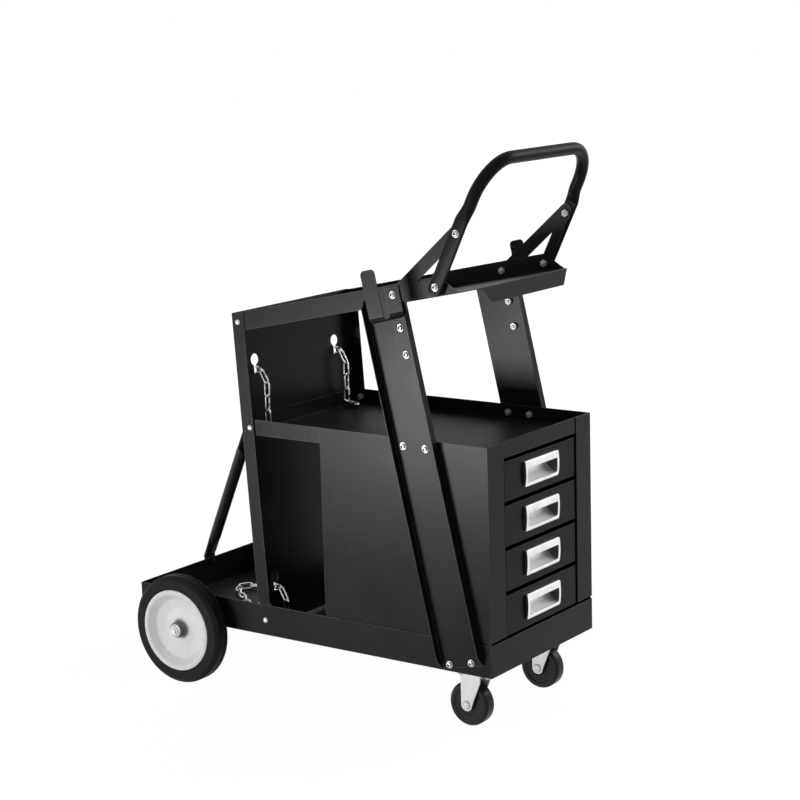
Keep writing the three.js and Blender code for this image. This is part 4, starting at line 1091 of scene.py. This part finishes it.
def even_joints(points):
    """Points of the spline an equal way apart, in an odd number of links."""
    samples = [spline_point(points, k / ROUTE_SAMPLES) for k in range(ROUTE_SAMPLES + 1)]
    reach = [0.0]
    for a, b in zip(samples, samples[1:]):
        reach.append(reach[-1] + (b - a).length)
    count = 2 * round((reach[-1] / LINK_PITCH - 1) / 2) + 1
    joints = []
    for k in range(count + 1):
        wanted = reach[-1] * k / count
        i = max(j for j in range(len(reach)) if reach[j] <= wanted + 1e-9)
        if i == ROUTE_SAMPLES:
            joints.append(samples[-1])
            continue
        part = (wanted - reach[i]) / (reach[i + 1] - reach[i])
        joints.append(spline_point(points, (i + part) / ROUTE_SAMPLES))
    return joints


def slot_joints(side, keyhole_z):
    """The two joints of the link that stands in a keyhole's neck, inside and behind the panel."""
    up = (keyhole_z - PANEL_FOOT_Z) / math.cos(PANEL_LEAN)
    lift = up - KEYHOLE_NECK_FOOT + GAP + LINK_WIDTH / 2
    lean = Matrix.Rotation(-PANEL_LEAN, 3, "Y")
    foot = Vector((PANEL_X, 0, PANEL_FOOT_Z))
    return [lean @ Vector(((end * LINK_PITCH + SHEET) / 2, side * KEYHOLE_SPACING / 2, lift)) + foot
            for end in (1, -1)]


def resting(floor_z):
    return floor_z + GAP + LINK_WIDTH / 2


def tail_joints(start, floor_z):
    """The loose end inside: a lead link, a hanging run and a last link on the floor."""
    rest = start.z - resting(floor_z)
    hanging = math.floor((rest - LINK_PITCH * math.sin(LEAD_ANGLE)) / LINK_PITCH)
    left = rest - LINK_PITCH * (math.sin(LEAD_ANGLE) + hanging)
    angles = [LEAD_ANGLE] + [math.pi / 2] * hanging + [math.asin(left / LINK_PITCH)]
    joints = []
    at = start
    for angle in angles:
        at = at + Vector((LINK_PITCH * math.cos(angle), 0, -LINK_PITCH * math.sin(angle)))
        joints.append(at)
    return joints


def add_link(mesh, first, second, roll, wire):
    """An oval wire link between two joints, with a small weld bead half way along one side."""
    along = (second - first).normalized()
    half = (second - first).length / 2
    spin = Vector((1, 0, 0)).rotation_difference(along).to_matrix() @ Matrix.Rotation(roll, 3, "X")
    middle = (first + second) / 2
    bend = (LINK_WIDTH - wire) / 2
    straight = half + wire / 2 - bend
    stations = []
    for end in (1, -1):
        for k in range(9):
            angle = (k / 8 - 0.5) * math.pi + (math.pi if end < 0 else 0)
            stations.append((angle, end * straight, 1.0))
        if end > 0:
            for shift, swell in ((0.22, 1.0), (0.1, 1.13), (-0.1, 1.13), (-0.22, 1.0)):
                stations.append((math.pi / 2, shift * straight, swell))
    rings = []
    for angle, shift, swell in stations:
        ring = []
        for k in range(10):
            around = 2 * math.pi * k / 10
            reach = bend + math.cos(around) * wire / 2 * swell
            local = Vector((shift + reach * math.cos(angle), reach * math.sin(angle),
                            math.sin(around) * wire / 2 * swell))
            point = spin @ local + middle
            ring.append(row(*point))
        rings.append(ring)
    skin_rings(mesh, rings, loop=True)


def chain_mesh(keyhole_z, tail_floor, behind, wire):
    right_in, right_out = slot_joints(-1, keyhole_z)
    left_in, left_out = slot_joints(1, keyhole_z)
    hidden = even_joints([right_out] + behind(right_out.z) + [left_out])
    for joint in hidden:
        joint.z = max(joint.z, resting(FLOOR_TOP))
    tail = tail_joints(right_in, tail_floor)
    joints = tail[::-1] + [right_in] + hidden + [left_in] + tail_joints(left_in, tail_floor)
    slot = len(tail)
    mesh = bmesh.new()
    for i, (first, second) in enumerate(zip(joints, joints[1:])):
        add_link(mesh, first, second, math.pi / 2 if (i - slot) % 2 == 0 else 0.0, wire)
    return mesh


def swag(z):
    return [Vector((panel_rear(z) - CHAIN_STANDOFF, i * KEYHOLE_SPACING / 6,
                    z - UPPER_SAG * (1 - (i / 3) ** 2))) for i in (-2, -1, 0, 1, 2)]


def floor_loop(_):
    points = []
    for i in (-2, -1, 0, 1, 2):
        part = abs(i) / 3
        spread = math.copysign(KEYHOLE_SPACING / 2 * part ** LOOP_ROUNDING, i) if i else 0.0
        reach = LOOP_APEX_X + (PANEL_X - CHAIN_STANDOFF - LOOP_APEX_X) * part
        points.append(Vector((reach, LOOP_APEX_Y * (1 - part) + spread, resting(FLOOR_TOP))))
    return points


class CART_OT_chains(bpy.types.Operator):
    """Makes the two safety chains, link by link"""

    bl_idname = "cart.chains"
    bl_label = "Chains"

    def execute(self, context):
        wire = context.scene.cart_shape.wire / MM
        for name, keyhole_z, floor_z, behind in (
                ("upper_chain", 532.0, SHELF_Z + SHEET, swag), ("lower_chain", 178.0, FLOOR_TOP, floor_loop)):
            add_piece(f"{name}_links", chain_mesh(keyhole_z, floor_z, behind, wire), "chain_plate", "cart",
                      [name], crease=60)
        return {"FINISHED"}


# Fasteners

SOCKET_STEPS = 24


def hex_ring(mesh, place, width, height, steps=SOCKET_STEPS):
    """A ring of points on a hexagon of the given width across flats."""
    ring = []
    for k in range(steps):
        angle = 2 * math.pi * k / steps
        within = (angle + math.pi / 6) % (math.pi / 3) - math.pi / 6
        reach = width / 2 / math.cos(within)
        ring.append(mesh.verts.new(place @ Vector(
            (reach * math.cos(angle) * MM, reach * math.sin(angle) * MM, height * MM))))
    return ring


def round_ring(mesh, place, radius, height, steps=SOCKET_STEPS):
    return [mesh.verts.new(place @ Vector((radius * math.cos(2 * math.pi * k / steps) * MM,
                                           radius * math.sin(2 * math.pi * k / steps) * MM, height * MM)))
            for k in range(steps)]


def bridge(mesh, rings):
    for first, second in zip(rings, rings[1:]):
        count = len(first)
        for k in range(count):
            n = (k + 1) % count
            mesh.faces.new((first[k], first[n], second[n], second[k]))
    mesh.faces.new(rings[0])
    mesh.faces.new(rings[-1])


def add_button_bolt(mesh, at, axis, head):
    """A button head with a hexagon socket, on a thin washer."""
    place = axis_place(at, axis)
    rings = [round_ring(mesh, place, head * 0.62, 0.0), round_ring(mesh, place, head * 0.62, 0.6),
             round_ring(mesh, place, head * 0.59, 0.9), round_ring(mesh, place, head * 0.5, 0.9),
             round_ring(mesh, place, head * 0.5, 1.5)]
    for k in range(1, 6):
        angle = math.pi / 2 * k / 6
        rings.append(round_ring(mesh, place, head * (0.5 - 0.2 * (1 - math.cos(angle))), 1.5 + 2.6 * math.sin(angle)))
    rings.append(hex_ring(mesh, place, head * 0.42, 4.1))
    rings.append(hex_ring(mesh, place, head * 0.39, 3.8))
    rings.append(hex_ring(mesh, place, head * 0.39, 1.8))
    rings.append(round_ring(mesh, place, head * 0.1, 1.3))
    bridge(mesh, rings)


def add_socket_shade(mesh, at, axis, head):
    """A dark fill at the foot of a button head's socket: painted shade for the recess."""
    place = axis_place(at, axis)
    bridge(mesh, [hex_ring(mesh, place, head * 0.38, 1.7), hex_ring(mesh, place, head * 0.38, 3.3),
                  hex_ring(mesh, place, head * 0.3, 3.1), round_ring(mesh, place, head * 0.08, 2.9)])


def add_dome_bolt(mesh, at, axis, head):
    """A plain carriage head."""
    place = axis_place(at, axis)
    rings = [round_ring(mesh, place, head * 0.52, 0.0), round_ring(mesh, place, head * 0.52, 0.7)]
    for k in range(1, 8):
        angle = math.pi / 2 * k / 8
        rings.append(round_ring(mesh, place, head * 0.5 * math.cos(angle), 0.9 + 3.0 * math.sin(angle)))
    bridge(mesh, rings)


def add_nut(mesh, at, axis, width):
    """A chamfered nut with the bolt's end standing out of it."""
    place = axis_place(at, axis)
    body = [hex_ring(mesh, place, width * 0.93, 0.0), hex_ring(mesh, place, width, 0.4),
            hex_ring(mesh, place, width, 4.3), hex_ring(mesh, place, width * 0.92, 4.9),
            round_ring(mesh, place, width * 0.32, 4.9), round_ring(mesh, place, width * 0.29, 4.6)]
    for k in range(4):
        body.append(round_ring(mesh, place, width * 0.29, 4.9 + 0.5 * k))
        body.append(round_ring(mesh, place, width * 0.26, 5.15 + 0.5 * k))
    body.append(round_ring(mesh, place, width * 0.2, 6.9))
    bridge(mesh, body)


def bracket_point(reach):
    """A place on the bracket's leg, that far down from its rear corner."""
    return (BRACKET_REAR_X + reach * math.sin(UPRIGHT_LEAN) + BASE_SHIFT,
            tray_floor(BRACKET_REAR_X) + TRAY_RIM / 2 - reach * math.cos(UPRIGHT_LEAN))


def handle_point(reach):
    return (HANDLE_LOW_X + reach * math.sin(HANDLE_LEAN) + BASE_SHIFT,
            tray_floor(HANDLE_LOW_X) + TRAY_RIM / 2 + reach * math.cos(HANDLE_LEAN))


class CART_OT_fasteners(bpy.types.Operator):
    """Makes the bolt heads outside and the nuts inside"""

    bl_idname = "cart.fasteners"
    bl_label = "Fasteners"

    def execute(self, context):
        head = context.scene.cart_shape.bolt_head / MM
        nut = context.scene.cart_shape.nut_width / MM
        domes = (((-118.2, 598.6), UPRIGHT_FACE, TRAY_RIM_BACK),
                 ((-102.3, 432.1), UPRIGHT_FACE, SHELF_RIM_BACK),
                 ((-88.1, 120.1), BASE_RIM_FACE, SHELF_RIM_BACK))
        buttons = (((191.7, 432.9), UPRIGHT_FACE, SHELF_RIM_BACK),
                   ((231.5, 432.5), UPRIGHT_FACE, SHELF_RIM_BACK),
                   ((266.0, 106.0), UPRIGHT_FACE, SHELF_RIM_BACK),
                   ((305.0, 114.5), UPRIGHT_FACE, SHELF_RIM_BACK),
                   (bracket_point(49.6), BRACKET_FACE, UPRIGHT_BACK),
                   (bracket_point(90.0), BRACKET_FACE, UPRIGHT_BACK),
                   (bracket_point(0.0), HOOK_FACE, TRAY_RIM_BACK),
                   (handle_point(0.0), HANDLE_FACE, TRAY_RIM_BACK),
                   (handle_point(HANDLE_BOLT_PITCH), HANDLE_FACE, BRACKET_BACK))
        for side, sign in SIDES:
            heads = bmesh.new()
            nuts = bmesh.new()
            painted_shade = bmesh.new()
            out = Vector((0, sign, 0))
            for places, make in ((domes, add_dome_bolt), (buttons, add_button_bolt)):
                for (x, z), face, back in places:
                    make(heads, Vector((x, sign * face, z)) * MM, out, head)
                    add_nut(nuts, Vector((x, sign * back, z)) * MM, -out, nut)
            # Dark fills in the sockets: painted shade in the recesses.
            for (x, z), face, _ in buttons:
                add_socket_shade(painted_shade, Vector((x, sign * face, z)) * MM, out, head)
            add_piece(f"bolt_heads_{side}", heads, "bolt_plate", "cart")
            add_piece(f"bolt_nuts_{side}", nuts, "zinc_plate", "cart", crease=25)
            add_piece(f"bolt_socket_shade_{side}", painted_shade, "socket_shade", "cart", crease=25)
        stay = bmesh.new()
        lean_out = Vector((-math.cos(PANEL_LEAN), 0, -math.sin(PANEL_LEAN)))
        top_y, top_z = STAY_TOP
        tab = top_z - STAY_TAB / 2
        add_button_bolt(stay, row(panel_rear(tab) - GAP - FLAT_THICK, top_y, tab), lean_out, head)
        foot_z = BASE_Z + BASE_RIM + FLAT_THICK - STAY_TAB / 2 - 2
        add_button_bolt(stay, row(-BASE_HALF - GAP - FLAT_THICK, STAY_FOOT_Y, foot_z), Vector((-1, 0, 0)), head)
        add_piece("stay_bolts", stay, "bolt_plate", "cart")
        inner = bmesh.new()
        add_nut(inner, row(SHEET - BASE_HALF, STAY_FOOT_Y, foot_z), Vector((1, 0, 0)), nut)
        add_piece("stay_nut", inner, "tube_coat", "cart", crease=25)
        return {"FINISHED"}


# Stage


def camera_matrix(settings):
    az, el, roll = settings.azimuth, settings.elevation, settings.roll
    ahead = Vector((-math.sin(az) * math.cos(el), math.cos(az) * math.cos(el), -math.sin(el)))
    level = Vector((math.cos(az), math.sin(az), 0))
    upright = level.cross(ahead)
    right = level * math.cos(roll) + upright * math.sin(roll)
    up = upright * math.cos(roll) - level * math.sin(roll)
    turned = Matrix((right, up, -ahead)).transposed().to_4x4()
    return Matrix.Translation(Vector(settings.eye)) @ turned


def seen_directly(tree):
    """1 for rays from the camera and for what metal and glass mirror, else 0."""
    path = add_node(tree, "ShaderNodeLightPath").outputs
    mirrored = maths(tree, "MAXIMUM", path["Is Glossy Ray"], path["Is Transmission Ray"])
    return maths(tree, "MAXIMUM", path["Is Camera Ray"], mirrored)


def area_light(name, at, target, size, power):
    data = bpy.data.lights.new(name, "AREA")
    data.shape = "RECTANGLE"
    data.size, data.size_y = size
    data.energy = power
    light = bpy.data.objects.new(name, data)
    bpy.context.scene.collection.objects.link(light)
    light.matrix_world = Matrix.Translation(at) @ (target - at).to_track_quat("-Z", "Y").to_matrix().to_4x4()


def floor_material():
    material = bpy.data.materials.new("pale_floor")
    material.use_nodes = True
    tree = material.node_tree
    tree.nodes.clear()
    patches = remap(tree, noise(tree, 3.0, 3.0), 0.3, 0.7)
    tone = mix_colour(tree, patches, (0.86, 0.86, 0.86, 1), (0.88, 0.88, 0.88, 1))
    dull = add_node(tree, "ShaderNodeBsdfDiffuse", {"Color": tone})
    glow = add_node(tree, "ShaderNodeEmission", {"Color": (1, 1, 1, 1), "Strength": 1.06})
    place = add_node(tree, "ShaderNodeTexCoord").outputs["Object"]
    reach = add_node(tree, "ShaderNodeVectorMath", {0: place}, operation="LENGTH").outputs["Value"]
    seen = maths(tree, "MULTIPLY", seen_directly(tree), remap(tree, reach, 0.5, 1.6, 0.92, 1.0))
    both = add_node(tree, "ShaderNodeMixShader", {0: seen, 1: dull.outputs[0], 2: glow.outputs[0]})
    out = add_node(tree, "ShaderNodeOutputMaterial")
    tree.links.new(both.outputs[0], out.inputs["Surface"])
    return material


class CART_OT_stage(bpy.types.Operator):
    """Makes the floor, the room light, the lamps and the camera"""

    bl_idname = "cart.stage"
    bl_label = "Stage"

    def execute(self, context):
        scene = context.scene
        settings = scene.cart_stage
        scene.view_settings.view_transform = "Standard"
        mesh = bmesh.new()
        bmesh.ops.create_grid(mesh, x_segments=8, y_segments=8, size=15.0)
        data = bpy.data.meshes.new("studio_floor")
        mesh.to_mesh(data)
        mesh.free()
        floor = bpy.data.objects.new("studio_floor", data)
        scene.collection.objects.link(floor)
        data.materials.append(floor_material())
        self.world(scene, settings.room_light)
        middle = Vector((0, 0, 0.4))
        area_light("key_light", Vector((-0.70, -1.74, 0.17)), middle, (0.7, 0.3), settings.key_power)
        area_light("fill_light", Vector((1.35, 2.0, 1.6)), middle, (1.2, 1.2), settings.fill_power)
        camera_data = bpy.data.cameras.new("photo_camera")
        camera_data.sensor_width = 36.0
        camera_data.lens = settings.lens
        camera_data.clip_end = 100.0
        camera = bpy.data.objects.new("photo_camera", camera_data)
        scene.collection.objects.link(camera)
        camera.matrix_world = camera_matrix(settings)
        scene.camera = camera
        return {"FINISHED"}

    def world(self, scene, strength):
        world = bpy.data.worlds.new("pale_room")
        scene.world = world
        world.use_nodes = True
        tree = world.node_tree
        tree.nodes.clear()
        lit = add_node(tree, "ShaderNodeBackground", {"Color": (1, 1, 1, 1), "Strength": strength})
        shown = add_node(tree, "ShaderNodeBackground", {"Color": (1, 1, 1, 1), "Strength": 1.0})
        both = add_node(tree, "ShaderNodeMixShader",
                        {0: seen_directly(tree), 1: lit.outputs[0], 2: shown.outputs[0]})
        out = add_node(tree, "ShaderNodeOutputWorld")
        tree.links.new(both.outputs[0], out.inputs["Surface"])


STEPS = (
    CART_OT_stage, CART_OT_sheet_metal, CART_OT_kept_nodes, CART_OT_drawer_pulls, CART_OT_rear_wheels,
    CART_OT_casters, CART_OT_push_handle, CART_OT_rear_stay, CART_OT_chains, CART_OT_fasteners,
)


class CART_PT_build(bpy.types.Panel):
    """Lists the cart's settings and the steps that build it"""

    bl_label = "Welding cart"
    bl_idname = "CART_PT_build"
    bl_space_type = "VIEW_3D"
    bl_region_type = "UI"
    bl_category = "Cart"

    def draw(self, context):
        layout = self.layout
        for group in (context.scene.cart_shape, context.scene.cart_colour, context.scene.cart_stage):
            column = layout.column(align=True)
            for key in group.__annotations__:
                column.prop(group, key)
        for step in STEPS:
            layout.operator(step.bl_idname)


CLASSES = (CartShape, CartColour, CartStage) + STEPS + (CART_PT_build,)


def register():
    for cls in CLASSES:
        bpy.utils.register_class(cls)
    bpy.types.Scene.cart_shape = bpy.props.PointerProperty(type=CartShape)
    bpy.types.Scene.cart_colour = bpy.props.PointerProperty(type=CartColour)
    bpy.types.Scene.cart_stage = bpy.props.PointerProperty(type=CartStage)


def unregister():
    del bpy.types.Scene.cart_stage
    del bpy.types.Scene.cart_colour
    del bpy.types.Scene.cart_shape
    for cls in reversed(CLASSES):
        bpy.utils.unregister_class(cls)


def main():
    register()
    for step in STEPS:
        area, name = step.bl_idname.split(".")
        getattr(getattr(bpy.ops, area), name)()


if __name__ == "__main__":
    main()
